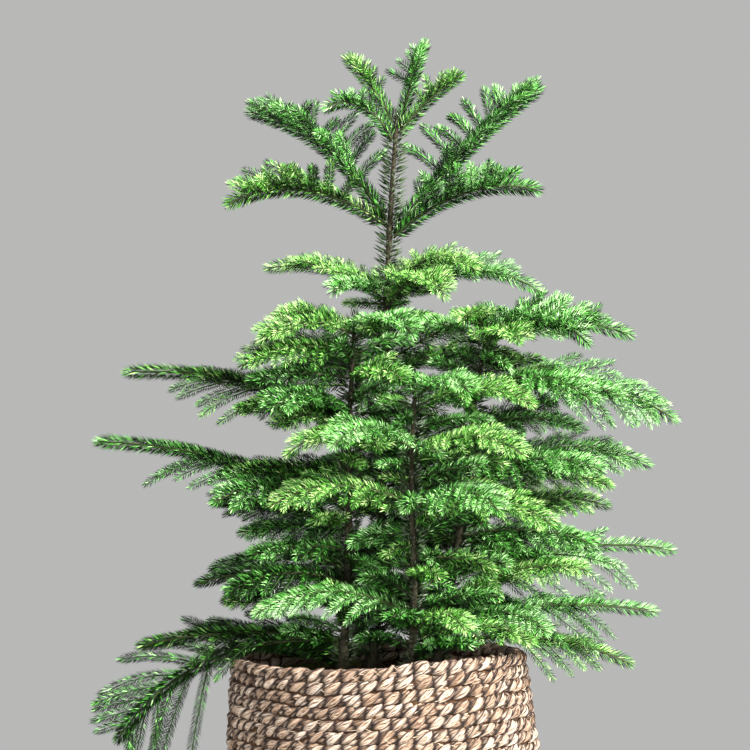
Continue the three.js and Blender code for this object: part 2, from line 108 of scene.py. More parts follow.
# %% Put a piece into the scene
def put_piece(name, surface, finish, stands_for=(), smooth=True):
    """An object from points (n, 3) in mm, faces (m, 3) or (m, 4), and maybe a UV per corner."""
    points, faces, *uv = surface
    mesh = bpy.data.meshes.new(name)
    mesh.vertices.add(len(points))
    mesh.vertices.foreach_set("co", (points * MM).astype(np.float32).ravel())
    mesh.loops.add(faces.size)
    mesh.loops.foreach_set("vertex_index", faces.astype(np.int32).ravel())
    mesh.polygons.add(len(faces))
    mesh.polygons.foreach_set("loop_start", np.arange(0, faces.size, faces.shape[1], dtype=np.int32))
    mesh.polygons.foreach_set("use_smooth", np.full(len(faces), smooth))
    if uv:
        layer = mesh.uv_layers.new(name="along")
        layer.data.foreach_set("uv", uv[0].astype(np.float32).ravel())
    mesh.update(calc_edges=True)
    mesh.materials.append(finish)
    piece = bpy.data.objects.new(name, mesh)
    bpy.context.scene.collection.objects.link(piece)
    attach(piece, "root")
    if stands_for:
        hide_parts(*stands_for)
    triangles = len(faces) * (faces.shape[1] - 2)
    print(f"{name}: {triangles} triangles, z {points[:, 2].min():.0f} to {points[:, 2].max():.0f} mm")


# %% [markdown]
# ## Light and a plain surround
# The light is that of a bright room: a plain pale surround that lights everything a little, a strong
# light from high on the front right, a weak one from low on the left, and a faint one from straight
# ahead. Area lights are used because their size sets how soft the shadows between the boughs are.

# %% Light
SURROUND = (0.48, 0.48, 0.475, 1.0)
# Each row: name, place and target in metres, width in metres, watts, colour
LIGHTS = [
    ("key", (1.8, -1.85, 1.9), (0.0, 0.0, 0.5), 0.5, 456.0, (1.0, 0.98, 0.95)),
    ("fill", (-1.9, -1.5, 0.2), (0.0, 0.0, 0.1), 1.0, 58.0, (0.97, 0.98, 1.0)),
    ("front", (0.7, -2.7, 0.55), (0.0, 0.0, 0.4), 1.0, 34.0, (1.0, 0.99, 0.97)),
]


def soft_light(name, place, target, size, watts, colour):
    """A square area light, turned by the arctangents of its offset so that it faces its target."""
    data = bpy.data.lights.new(name, "AREA")
    data.size = size
    data.energy = watts
    data.color = colour
    lamp = bpy.data.objects.new(name, data)
    lamp.location = place
    away = np.array(place) - np.array(target)
    lamp.rotation_euler = (np.arctan2(np.hypot(away[0], away[1]), away[2]), 0.0,
                           np.arctan2(away[0], -away[1]))
    bpy.context.scene.collection.objects.link(lamp)


world = bpy.data.worlds.new("surround")
world.use_nodes = True
world.node_tree.nodes["Background"].inputs["Color"].default_value = SURROUND
bpy.context.scene.world = world
bpy.context.scene.view_settings.view_transform = "Standard"
for light in LIGHTS:
    soft_light(*light)
print("lights:", len(LIGHTS))

# %% [markdown]
# ## Finishes
# Each finish is a node material that reads Object coordinates, or the piece's own UV map where the
# grain runs along a strand. The greens are plain base colours with a little unevenness, because the
# place of a colour on the plant is set by dealing needles to pieces, not by a pattern.

# %% Finish helpers
WHITE = (1.0, 1.0, 1.0, 1.0)
# Sockets of the Mix node that carry colours
MIX_FIRST, MIX_SECOND, MIX_RESULT = 6, 7, 2


def colour_of(red, green, blue):
    """A colour written as 0 to 255 screen values, as the linear values that shaders use."""
    screen = np.array([red, green, blue]) / 255.0
    linear = np.where(screen <= 0.04045, screen / 12.92, ((screen + 0.055) / 1.055) ** 2.4)
    return (*linear.tolist(), 1.0)


class Finish:
    """A node material with its main shader, and short ways to add the nodes used below."""

    def __init__(self, name, roughness, specular):
        self.material = bpy.data.materials.new(name)
        self.material.use_nodes = True
        self.tree = self.material.node_tree
        self.shader = self.tree.nodes["Principled BSDF"]
        self.shader.inputs["Roughness"].default_value = roughness
        self.shader.inputs["Specular IOR Level"].default_value = specular

    def add(self, kind, links, values=(), **settings):
        """A new node with its settings, then its linked inputs, then its fixed inputs."""
        node = self.tree.nodes.new("ShaderNode" + kind)
        for key, setting in settings.items():
            setattr(node, key, setting)
        for place, source in links.items():
            self.tree.links.new(source, node.inputs[place])
        for place, number in dict(values).items():
            node.inputs[place].default_value = number
        return node

    def coordinates(self, kind, scale):
        """Object or UV coordinates, stretched by three factors."""
        source = self.add("TexCoord", {}).outputs[kind]
        return self.add("Mapping", {"Vector": source}, {"Scale": scale}).outputs["Vector"]

    def noise(self, vector, detail=3.0, rough=0.55):
        """Cloudy noise from 0 to 1, with spots about one coordinate unit wide."""
        values = {"Scale": 1.0, "Detail": detail, "Roughness": rough}
        return self.add("TexNoise", {"Vector": vector}, values).outputs["Fac"]

    def lone_noise(self, value):
        """A random value from 0 to 1 that belongs to one number."""
        return self.add("TexWhiteNoise", {"W": value}, noise_dimensions="1D").outputs["Value"]

    def split(self, vector):
        """The first two coordinates of a vector."""
        node = self.add("SeparateXYZ", {"Vector": vector})
        return node.outputs["X"], node.outputs["Y"]

    def maths(self, operation, value, *numbers):
        """One step of arithmetic on a value, with fixed numbers as its other terms."""
        terms = dict(enumerate(numbers, start=1))
        return self.add("Math", {0: value}, terms, operation=operation).outputs["Value"]

    def ramp(self, factor, stops):
        """Colours at places from 0 to 1 along a factor."""
        node = self.add("ValToRGB", {"Fac": factor})
        elements = node.color_ramp.elements
        while len(elements) < len(stops):
            elements.new(0.5)
        for element, (place, colour) in zip(elements, stops):
            element.position = place
            element.color = colour
        return node.outputs["Color"]

    def multiply(self, first, second):
        """One colour times another."""
        node = self.add("Mix", {MIX_FIRST: first, MIX_SECOND: second}, {"Factor": 1.0},
                        data_type="RGBA", blend_type="MULTIPLY")
        return node.outputs[MIX_RESULT]

    def bump(self, height, distance, strength=1.0):
        """Small relief in the shading, with its depth in metres."""
        node = self.add("Bump", {"Height": height}, {"Distance": distance, "Strength": strength})
        self.tree.links.new(node.outputs["Normal"], self.shader.inputs["Normal"])

    def paint(self, colour):
        """Send a colour to the shader; gives the finished material."""
        self.tree.links.new(colour, self.shader.inputs["Base Color"])
        return self.material


# %% Mottled finish
SPOT_DARK = 0.3
SPOT_LIGHT = 0.7


def mottled(name, dark, light, grain, roughness, bump=0.0, specular=0.5):
    """A finish that wavers between two colours, with spots of about one grain in millimetres."""
    finish = Finish(name, roughness, specular)
    scale = 1.0 / (grain * MM)
    spots = finish.noise(finish.coordinates("Object", (scale, scale, scale)))
    if bump:
        finish.bump(spots, bump * MM)
    stops = [(SPOT_DARK, colour_of(*dark)), (SPOT_LIGHT, colour_of(*light))]
    return finish.paint(finish.ramp(spots, stops))


# %% [markdown]
# ## The floor
# The floor only catches the shadow, so one flat disc does: a ring of points with one face. It ends
# before it would show in the picture, so the plant stands against the plain surround.

# %% Floor
FLOOR_RADIUS = 1150.0
FLOOR_SIDES = 96
turn = np.linspace(0.0, 2.0 * np.pi, FLOOR_SIDES, endpoint=False)
floor_points = FLOOR_RADIUS * level(turn) * MM
floor_mesh = bpy.data.meshes.new("floor")
floor_mesh.from_pydata(floor_points.tolist(), [], [list(range(FLOOR_SIDES))])
floor_mesh.materials.append(mottled("floor_finish", (196, 195, 192), (206, 205, 202), 40.0, 0.8))
floor = bpy.data.objects.new("floor", floor_mesh)
bpy.context.scene.collection.objects.link(floor)
print("floor", 2.0 * FLOOR_RADIUS, "mm across")

# %% [markdown]
# ## The stems
# Four seedlings stand in the soil. A stem leans in a straight line from its foot to its tip with a
# slight sway, tapers, and flares where it meets the soil. These rules come first, because the limbs
# start from them; the skin with its bark follows further down.

# %% Stem rule
SOIL_TOP = 264.0
STEM_SWAY = 2.2
FLARE = 0.9
FLARE_HEIGHT = 11.0
STEMS = {
    "main": dict(foot=(-8, 30), tip=(17, 22, 826), foot_radius=5.6, tip_radius=1.9),
    "left": dict(foot=(-38, -18), tip=(-24, -34, 624), foot_radius=4.6, tip_radius=1.5),
    "front": dict(foot=(30, -58), tip=(34, -72, 554), foot_radius=4.3, tip_radius=1.4),
    "right": dict(foot=(56, 6), tip=(110, -6, 624), foot_radius=4.8, tip_radius=1.5),
}


def stem_share(name, height):
    """How far up its stem a height is, from 0 at the soil to 1 at the tip."""
    return (np.asarray(height, float) - SOIL_TOP) / (STEMS[name]["tip"][2] - SOIL_TOP)


def stem_point(name, height):
    """Middle of a stem: foot + share * (tip - foot), with one sine wave of sway along X."""
    stem = STEMS[name]
    share = stem_share(name, height)
    x = stem["foot"][0] + (stem["tip"][0] - stem["foot"][0]) * share
    y = stem["foot"][1] + (stem["tip"][1] - stem["foot"][1]) * share
    return np.stack([x + STEM_SWAY * np.sin(2 * np.pi * share), y, height + 0.0 * x], axis=-1)


def stem_radius(name, height):
    """Radius: straight taper from foot to tip, times a flare that dies away above the soil."""
    stem = STEMS[name]
    taper = stem["foot_radius"] + (stem["tip_radius"] - stem["foot_radius"]) * stem_share(name, height)
    return taper * (1.0 + FLARE * np.exp(-(height - SOIL_TOP) / FLARE_HEIGHT))


def stem_lean(name):
    """How far a stem moves sideways for each millimetre that it rises."""
    stem = STEMS[name]
    across = np.hypot(stem["tip"][0] - stem["foot"][0], stem["tip"][1] - stem["foot"][1])
    return across / (stem["tip"][2] - SOIL_TOP)


print("tallest stem ends at", max(stem["tip"][2] for stem in STEMS.values()), "mm")

# %% [markdown]
# ## The limbs
# Boughs leave a stem in whorls. A limb keeps its compass direction and bends only up and down: it
# starts at its rise and loses more and more of it to droop towards the tip. Adding up short steps in
# that direction gives the limb's spine. The rows below are the same planting list as the solids'.

# %% Whorls
# Each row: stem, height, lift of the side shoots, freshness of the green, and the boughs as
# (azimuth, length, rise, droop, share of the tip with no side shoots, roll of the bough's plane,
# and on some the share of the foot with no side shoots). The lower rows of the left stem get a low
# freshness, which makes that side of the crown darker.
WHORLS = [
    ("main", 820, 30, 0.38, [(158, 84, 62, 22, 0.1, 0, 0.42), (32, 92, 74, 8, 0.1, 0, 0.42),
                             (345, 86, 52, 24, 0.1, 0, 0.42), (208, 90, 62, 96, 0.3, 0, 0.32)]),
    ("main", 722, 35, 0.32, [(150, 204, 54, 42, 0.1, 0, 0.24), (206, 180, 31, 58, 0.15, 0, 0.24),
                             (28, 230, 48, 14, 0.1, 0, 0.3), (334, 168, 38, 52, 0.25, 0, 0.24)]),
    ("main", 652, 20, 0.58, [(168, 124, 26, 36, 0.25, 10), (354, 158, 28, 62, 0.3, -15),
                             (60, 130, 40, 60, 0.1, 0), (300, 120, 42, 88, 0.1, -8)]),
    ("main", 566, 0, 0.25, [(44, 190, 20, 40, 0.2, -15), (128, 180, 20, 40, 0.2, 15)]),
    ("main", 470, -5, 0.18, [(52, 200, 15, 40, 0.2, -15), (112, 210, 15, 40, 0.2, 10)]),
    ("main", 384, -10, 0.12, [(26, 200, 12, 40, 0.2, -15), (88, 205, 10, 40, 0.2, 0),
                              (154, 190, 12, 34, 0.2, 15)]),
    ("left", 612, 20, 0.50, [(190, 78, 24, 34, 0.2, 15), (216, 112, 20, 54, 0.1, 26),
                             (306, 102, 36, 78, 0.1, -8)]),
    ("left", 592, 8, 0.38, [(186, 90, 10, 30, 0.1, 28), (210, 124, 14, 46, 0.1, 26)]),
    ("left", 526, 0, 0.18, [(176, 224, 22, 26, 0.42, 12), (240, 148, 32, 62, 0.1, 12)]),
    ("left", 442, 0, 0.26, [(184, 250, 22, 20, 0.4, 15), (216, 160, 26, 54, 0.15, 22)]),
    ("left", 422, -5, 0.0, [(170, 134, 13, 14, 0.2, 20)]),
    ("left", 366, -5, 0.02, [(179, 146, 9, 28, 0.4, 12), (214, 136, 18, 46, 0.1, 22)]),
    ("left", 302, -10, -0.04, [(191, 251, 4, 62, 0.05, 68, 0.37)]),
    ("front", 540, 10, 0.55, [(300, 104, 34, 66, 0.1, -10), (348, 120, 30, 66, 0.1, -16)]),
    ("front", 500, 5, 0.58, [(204, 136, 22, 62, 0.2, 14), (236, 138, 28, 60, 0.1, 14),
                             (322, 134, 26, 58, 0.1, -16)]),
    ("front", 440, 0, 0.48, [(206, 150, 24, 54, 0.1, 20), (304, 144, 28, 60, 0.1, -12),
                             (336, 150, 24, 62, 0.1, -18)]),
    ("front", 332, -5, 0.66, [(196, 162, 28, 62, 0.1, 14)]),
    ("right", 612, 35, 0.45, [(4, 142, 12, 34, 0.3, -15), (322, 124, 24, 66, 0.15, -16),
                              (66, 130, 26, 50, 0.1, 0)]),
    ("right", 556, 5, 0.48, [(352, 200, 8, 42, 0.15, -28), (316, 152, 20, 56, 0.1, -20)]),
    ("right", 468, 0, 0.46, [(4, 186, 24, 50, 0.2, -24), (330, 150, 24, 46, 0.1, -22)]),
    ("right", 418, 0, 0.38, [(352, 147, 26, 44, 0.2, -20)]),
    ("right", 347, 0, 0.58, [(6, 228, 28, 40, 0.4, -20), (330, 155, 32, 44, 0.1, -20)]),
    ("right", 320, -5, 0.54, [(358, 204, 12, 22, 0.38, -18), (316, 134, 26, 58, 0.1, -14)]),
    ("right", 298, -5, 0.50, [(350, 186, 9, 34, 0.3, -15)]),
]

# %% Limb rule
DROOP_POWER = 1.3
LIMB_STEPS = 24
LIMB_RADIUS = 0.9
LIMB_RADIUS_PER_LENGTH = 0.007
CLEARANCE = 0.3
FIRST_SHOOT = 0.12
limbs = []


def limb_spine(name, height, azimuth, length, rise, droop):
    """Points along a limb: elevation = rise - droop * share ** power, summed in short steps."""
    heading = level(np.radians(azimuth))
    radius = LIMB_RADIUS + LIMB_RADIUS_PER_LENGTH * length
    standoff = stem_radius(name, height) + CLEARANCE
    standoff = standoff + radius * (np.sin(np.radians(rise)) + stem_lean(name))
    share = (np.arange(LIMB_STEPS) + 0.5) / LIMB_STEPS
    elevation = np.radians(rise - droop * share ** DROOP_POWER)[:, None]
    steps = (np.cos(elevation) * heading + np.sin(elevation) * UP) * length / LIMB_STEPS
    start = stem_point(name, height) + standoff * heading
    return np.vstack([start, start + np.cumsum(steps, axis=0)]), np.cross(heading, UP)


def add_limb(stem, height, lift, fresh, bough, crowding, thinned=1.0):
    """Keep one limb; crowding is a factor on its shoots' pitch, thinned one on its needles' spacing."""
    azimuth, length, rise, droop, bare, roll, *first = bough
    spine, sideways = limb_spine(stem, height, azimuth, length, rise, droop)
    limbs.append(dict(spine=spine, sideways=sideways, length=float(length), lift=lift, roll=roll,
                      bare=bare, first=first[0] if first else FIRST_SHOOT, fresh=fresh,
                      crowding=crowding, thinned=thinned))


# %% Grow the whorls
WHORL_STAGGER = 6.0
WHORL_CROWDING = 0.72
CROWDING_PER_FRESH = 0.27
for stem, height, lift, fresh, boughs in WHORLS:
    crowding = WHORL_CROWDING - CROWDING_PER_FRESH * fresh
    for number, bough in enumerate(boughs):
        add_limb(stem, height - WHORL_STAGGER * number, lift, fresh, bough, crowding)
print("boughs in the whorls:", len(limbs))

# %% [markdown]
# Between the whorls, each stem also carries shorter boughs, which fill the inside of the crown. They
# follow one another round the stem by the golden angle, as leaves do, and stay well inside the reach
# of the whorls. The lowest ones rise more steeply, to clear the basket's rim, and those that point to
# the left are shorter. Being in the shade, they make do with fewer and wider needles, and their green
# is duller, lower down more so, as painted shade of the crown's inside.

# %% Inner boughs
GOLDEN_ANGLE = np.pi * (3.0 - np.sqrt(5.0))
# stem: lowest and highest inner bough, and their spacing up the stem
INNER_BOUGHS = {"main": (300, 660, 8.0), "left": (296, 600, 7.6),
                "front": (290, 540, 6.0), "right": (292, 618, 7.6)}
INNER_LENGTHS = (50.0, 120.0)
SHORTER_ABOVE = 0.3
LEFT_SHARE = 0.62
LEFT_COSINE = -0.5
SIDE_SPREAD = 24.0
INNER_RISES = (0.0, 40.0)
INNER_DROOPS = (10.0, 46.0)
INNER_ROLLS = (-50.0, 50.0)
RIM_RISE = 24.0
RIM_BELOW = 330.0
RIM_RANGE = 40.0
# Painted shade: the inner boughs' freshness is set low, lower still further down, to darken the crown's
# inside.
INNER_SHADED_FRESH = 0.22
FRESHER_ABOVE = 0.22
FRESH_SPREAD = (-0.12, 0.16)
INNER_BARE = 0.1
INNER_CROWDING = 0.9
INNER_THINNED = 1.28
inner_draw = np.random.default_rng(640)
for stem, (lowest, highest, spacing) in INNER_BOUGHS.items():
    first = inner_draw.uniform(0.0, 360.0)
    for number, height in enumerate(np.arange(lowest, highest, spacing)):
        azimuth = (first + np.degrees(GOLDEN_ANGLE) * number) % 360.0
        azimuth = azimuth - SIDE_SPREAD * np.sin(np.radians(2.0 * azimuth))
        upper = (height - lowest) / (highest - lowest)
        length = inner_draw.uniform(*INNER_LENGTHS) * (1.0 - SHORTER_ABOVE * upper)
        length = length * (LEFT_SHARE if np.cos(np.radians(azimuth)) < LEFT_COSINE else 1.0)
        over_rim = RIM_RISE * np.clip((RIM_BELOW - height) / RIM_RANGE, 0.0, 1.0)
        rise = inner_draw.uniform(*INNER_RISES) + over_rim
        droop = inner_draw.uniform(*INNER_DROOPS)
        roll = inner_draw.uniform(*INNER_ROLLS)
        fresh = INNER_SHADED_FRESH + FRESHER_ABOVE * upper + inner_draw.uniform(*FRESH_SPREAD)
        bough = (azimuth, length, rise, droop, INNER_BARE, roll)
        add_limb(stem, float(height), 0.0, fresh, bough, INNER_CROWDING, INNER_THINNED)
print("with the inner boughs:", len(limbs))

# %% [markdown]
# Some places of the crown are fuller than these rules make them. The list below adds single boughs
# there, placed one by one against the picture and written in the same way as the boughs of a whorl.

# %% Filling boughs
FILLING_CROWDING = 0.7
# Boughs on the left stem are given a low freshness here too, which darkens that side.
FILLING_BOUGHS = [
    ("main", 650, 20, 0.62, (328, 112, 50, 92, 0.1, -10)),
    ("main", 640, 10, 0.5, (236, 96, 30, 60, 0.1, 8)),
    ("right", 606, 15, 0.5, (252, 88, 36, 64, 0.1, 0)),
    ("right", 598, 15, 0.5, (190, 84, 34, 56, 0.1, 10)),
    ("right", 590, 10, 0.55, (286, 110, 30, 60, 0.1, -6)),
    ("front", 318, 0, 0.46, (300, 96, 34, 70, 0.1, -6)),
    ("front", 306, 0, 0.44, (345, 120, 26, 60, 0.1, -12)),
    ("right", 312, 0, 0.46, (280, 110, 30, 62, 0.1, -8)),
    ("left", 534, 0, 0.2, (196, 112, 8, 22, 0.1, 26)),
    ("left", 414, 0, 0.18, (188, 104, 6, 20, 0.1, 24)),
    ("left", 392, 0, 0.22, (204, 100, 10, 26, 0.1, 26)),
    ("right", 404, 0, 0.36, (340, 130, 12, 30, 0.1, -24)),
    ("left", 288, 0, 0.1, (158, 84, 12, 20, 0.1, 10)),
    ("left", 280, 0, 0.08, (130, 80, 10, 14, 0.1, 0)),
    ("main", 284, 0, 0.12, (172, 98, 8, 14, 0.1, 10)),
    ("right", 546, 0, 0.48, (342, 150, 16, 40, 0.1, -22)),
    ("right", 456, 0, 0.42, (346, 146, 18, 42, 0.1, -20)),
    ("left", 470, 0, 0.1, (194, 126, 8, 22, 0.1, 24)),
    ("left", 344, 0, 0.06, (190, 118, 8, 20, 0.1, 20)),
    ("left", 562, 0, 0.2, (202, 104, 10, 26, 0.1, 22)),
    ("right", 396, 0, 0.4, (4, 136, 14, 30, 0.1, -20)),
    ("left", 304, 0, -0.02, (185, 198, 7, 20, 0.4, 22)),
    ("right", 516, 0, 0.42, (346, 108, 12, 30, 0.1, -22)),
    ("main", 604, 5, 0.4, (262, 100, 24, 50, 0.1, 0)),
    ("left", 560, 0, 0.34, (300, 98, 22, 50, 0.1, -8)),
    ("left", 496, 0, 0.28, (286, 104, 20, 48, 0.1, -6)),
    ("left", 522, 0, 0.2, (228, 104, 12, 34, 0.1, 20)),
    ("left", 508, 0, 0.16, (258, 92, 10, 30, 0.1, 10)),
    ("right", 542, 0, 0.32, (258, 98, 16, 44, 0.1, 0)),
    ("right", 500, 0, 0.3, (292, 104, 14, 38, 0.1, -8)),
]
for stem, height, lift, fresh, bough in FILLING_BOUGHS:
    add_limb(stem, float(height), lift, fresh, bough, FILLING_CROWDING)


def of_limbs(key):
    """One entry of every limb, as an array."""
    return np.array([limb[key] for limb in limbs])


limb_spines = of_limbs("spine")
limb_sideways = of_limbs("sideways")
limb_lengths = of_limbs("length")
print("limbs:", len(limbs), "of", round(limb_lengths.sum() / 1000, 1), "m")

# %% [markdown]
# ## The side shoots
# Along each limb, side shoots stand to either side in turn. They are longest near the foot, lean
# forward more and more towards the tip, are lifted above the limb's plane on young boughs and hang a
# little on old ones, and they sag with the square of the distance. The solids carry a few of them;
# here the same rule goes on to the plant's real spacing. A shoot that would run into a stem, the
# basket or the soil is left out.

# %% Places along spines
SPINE_END = 0.9999


def along_spines(spines, owner, share):
    """Points and directions at shares from 0 to 1 along the spine that each owner number picks."""
    place = np.clip(share, 0.0, SPINE_END) * (spines.shape[1] - 1)
    step = place.astype(int)
    ahead = spines[owner, step + 1] - spines[owner, step]
    return spines[owner, step] + (place - step)[:, None] * ahead, unit(ahead)


# %% Side shoot rule
SHOOT_PITCH = 4.4
SHOOT_PITCH_PER_LENGTH = 0.03
FEWEST_SHOOTS = 6
PLACE_JITTER = 0.2
TIP_CROWDING = 0.3
FOOT_FULLNESS = 0.55
FULLNESS_GROWTH = 2.2
FULLNESS_POWER = 0.8
SHOOT_SHARE = 0.44
SHOOT_FULL_LENGTH = 200.0
SHOOT_LONGEST = 84.0
SHOOT_SHORTEST = 8.0
LENGTH_LEAST = 0.9
LENGTH_SPREAD = 0.16
SHOOT_ANGLE_FOOT = 56.0
SHOOT_ANGLE_TIP = 36.0
SHOOT_ANGLE_PER_LIFT = 0.4
SHOOT_SAG = 0.16
SHOOT_SAG_LENGTH = 50.0
SHOOT_JITTER = 8.0
SHOOT_STEPS = 6


def shoot_lengths(limb, outward):
    """Longest a fifth of the way out: full length * min(1, a + b * out) * (1 - out) ** power."""
    fullness = np.minimum(1.0, FOOT_FULLNESS + FULLNESS_GROWTH * outward)
    fullness = fullness * (1.0 - outward) ** FULLNESS_POWER
    fullest = SHOOT_SHARE * limb["length"] * np.sqrt(limb["length"] / SHOOT_FULL_LENGTH)
    return np.minimum(SHOOT_LONGEST, fullest * fullness + SHOOT_SHORTEST)


def side_shoots(limb, draw):
    """Spines of a limb's side shoots: foot + heading * length * s - UP * sag * length * s ** 2."""
    stretch = 1.0 - limb["bare"] - limb["first"]
    pitch = limb["crowding"] * (SHOOT_PITCH + SHOOT_PITCH_PER_LENGTH * limb["length"])
    count = max(FEWEST_SHOOTS, int(stretch * limb["length"] / pitch))
    order = (np.arange(count) + 0.5 + PLACE_JITTER * (draw.random(count) - 0.5)) / count
    share = limb["first"] + stretch * ((1.0 + TIP_CROWDING) * order - TIP_CROWDING * order ** 2)
    side = np.where(np.arange(count) % 2 == 0, 1.0, -1.0)[:, None]
    outward = (share - limb["first"]) / (1.0 - limb["first"])
    length = shoot_lengths(limb, outward) * (LENGTH_LEAST + LENGTH_SPREAD * draw.random(count))
    spread = SHOOT_JITTER * (2.0 * draw.random((2, count)) - 1.0)
    angle = SHOOT_ANGLE_FOOT * (1.0 - outward) + SHOOT_ANGLE_TIP * outward
    angle = angle + SHOOT_ANGLE_PER_LIFT * limb["lift"]
    turn = np.radians(angle + spread[0])[:, None]
    lift = np.radians(limb["lift"] + side[:, 0] * limb["roll"] + spread[1])[:, None]
    foot, along = along_spines(limb["spine"][None], np.zeros(count, int), share)
    above = np.cross(limb["sideways"], along)
    out = side * np.cos(lift) * limb["sideways"] + np.sin(lift) * above
    heading = np.cos(turn) * along + np.sin(turn) * out
    s = np.linspace(0.0, 1.0, SHOOT_STEPS + 1)[None, :, None]
    reach = length[:, None, None]
    sag = SHOOT_SAG * (0.5 + draw.random((count, 1, 1))) * reach / SHOOT_SAG_LENGTH
    spines = foot[:, None] + heading[:, None] * reach * s - UP * sag * reach * s ** 2
    return dict(spine=spines, across=square_to(along, heading), length=length, outward=outward)


# %% [markdown]
# The basket's outline is needed here to keep shoots clear of it, so its profile comes first: the
# radius of the woven wall at a height, as a smooth curve fitted to a few radii. The belly bulges to
# one side, and the rim rises a little towards the front right. Like any hand-made wall it is a
# little wavy, which is a sum of sine waves round it.

# %% Basket outline
BASKET_HEIGHT = 285.0
BASKET_PROFILE = [(0, 126), (40, 143), (100, 155), (160, 157), (225, 153), (285, 147)]
WALL_MIDDLE = 5.0
BULGE_DRIFT = 5.5
RIM_DRIFT = 1.5
RIM_RAISE = 8.0
RIM_RAISE_AZIMUTH = np.radians(-38.0)
RIM_RAISE_START = 0.72
FIRM_BELOW = 0.25
OUT_RIPPLE = dict(size=0.006, waves=5.0, drift=6.0)
UP_RIPPLES = [dict(size=1.2, waves=3.0, drift=5.0), dict(size=0.8, waves=7.0, drift=-8.0)]
profile_curve = np.polyfit(*zip(*BASKET_PROFILE), 4)


def wall_radius(height):
    """Outer radius of the basket at a height, from a smooth curve fitted to the profile's points."""
    return np.polyval(profile_curve, height)


def ripple(angle, along, size, waves, drift):
    """Waves round a ring that turn as they climb: size * sin(waves * angle + drift * along)."""
    return size * np.sin(waves * angle + drift * along)


def lean_and_raise(points):
    """Shift points of an upright round basket: hand-made waves, its belly's drift, its raised rim."""
    share = points[..., 2] / BASKET_HEIGHT
    azimuth = np.arctan2(points[..., 1], points[..., 0])
    towards = np.maximum(0.0, np.cos(azimuth - RIM_RAISE_AZIMUTH)) ** 2
    ramp = np.clip((share - RIM_RAISE_START) / (1.0 - RIM_RAISE_START), 0.0, 1.0)
    firm = np.clip(share / FIRM_BELOW, 0.0, 1.0)
    moved = points.copy()
    moved[..., :2] *= (1.0 + firm * ripple(azimuth, share, **OUT_RIPPLE))[..., None]
    moved[..., 2] += firm * sum(ripple(azimuth, share, **waves) for waves in UP_RIPPLES)
    moved[..., 0] += BULGE_DRIFT * np.sin(np.pi * share) - RIM_DRIFT * share
    moved[..., 2] += RIM_RAISE * towards * ramp ** 2 * (3.0 - 2.0 * ramp)
    return moved


print("wall radius at the rim", round(float(wall_radius(BASKET_HEIGHT)), 1))

# %% Grow the side shoots
SHOOT_SEED = 400
FOOT_POINTS = 3
STEM_ROOM = 5.0
BASKET_ROOM = 9.0
SOIL_ROOM = 4.0


def has_room(spines):
    """True for shoots that stay out of every stem, the basket's wall and the soil."""
    clear = np.ones(len(spines), bool)
    outer = spines[:, FOOT_POINTS:]
    for name, stem in STEMS.items():
        apart = outer[..., :2] - stem_point(name, outer[..., 2])[..., :2]
        inside = (np.linalg.norm(apart, axis=-1) < STEM_ROOM) & (outer[..., 2] < stem["tip"][2])
        clear &= ~inside.any(axis=1)
    height = spines[..., 2]
    radius = np.linalg.norm(spines[..., :2], axis=-1)
    wall = wall_radius(np.clip(height, 0.0, BASKET_HEIGHT))
    in_wall = np.abs(radius - wall + WALL_MIDDLE) < WALL_MIDDLE + BASKET_ROOM
    in_wall &= height < BASKET_HEIGHT + BASKET_ROOM
    in_soil = (height < SOIL_TOP + SOIL_ROOM) & (radius < wall)
    return clear & ~(in_wall | in_soil).any(axis=1)


grown = []
for number, limb in enumerate(limbs):
    shoots = side_shoots(limb, np.random.default_rng(SHOOT_SEED + number))
    shoots["owner"] = np.full(len(shoots["spine"]), number)
    kept = has_room(shoots["spine"])
    grown.append({key: values[kept] for key, values in shoots.items()})
shoots = joined(grown)
print("side shoots:", len(shoots["spine"]), "of", round(shoots["length"].sum() / 1000, 1), "m")

# %% [markdown]
# ## Wood: stems, limbs and twigs
# A tube is a ring of points carried along a spine. For many spines at once, the rings are one big
# array with four axes: spine, place along it, step round it, and coordinate. The ends are closed
# with quads, so every tube is a closed body.

# %% Tubes
def tubes(spines, across, radii, sides):
    """Rings round each spine: p + r * (cos a * A + sin a * B); radii has axes spine, place, step."""
    along = unit(np.gradient(spines, axis=1))
    first = square_to(across[:, None], along)
    second = np.cross(along, first)
    angle = 2.0 * np.pi * np.arange(sides) / sides
    ring = np.cos(angle)[:, None] * first[:, :, None] + np.sin(angle)[:, None] * second[:, :, None]
    points = spines[:, :, None] + radii[..., None] * ring
    count, steps = spines.shape[:2]
    index = np.arange(count * steps * sides).reshape(count, steps, sides)
    nearer, further = index[:, :-1], index[:, 1:]
    walls = np.stack([nearer, np.roll(nearer, -1, 2), np.roll(further, -1, 2), further], axis=-1)
    fan = np.array([[0, i + 2, i + 1, i] for i in range(1, sides - 2, 2)])
    ends = np.concatenate([index[:, 0][:, fan], index[:, -1][:, fan[:, ::-1]]], axis=1)
    return points.reshape(-1, 3), np.concatenate([walls.reshape(-1, 4), ends.reshape(-1, 4)])


# %% [markdown]
# The skin of a stem is one such tube with many rings, so the bark is simply added to the radius:
# ridges that twist up the stem, small uneven scales, and a swelling below each whorl. A bump map
# alone would leave the outline smooth. The rings crowd towards the foot, where the flare is.

# %% Stems with bark
STEM_RINGS = 240
STEM_SIDES = 16
RING_CROWDING = 1.25
BURIED = 5.0
ALONG_X = np.array([[1.0, 0.0, 0.0]])
BARK_RIDGES = [dict(size=0.06, waves=5.0, drift=0.05), dict(size=0.05, waves=3.0, drift=-0.11)]
BARK_SCALES = 0.07
SWELLING = 0.7
SWELLING_BELOW = 8.0
SWELLING_SPAN = 9.0
ridge_draw = np.random.default_rng(71)


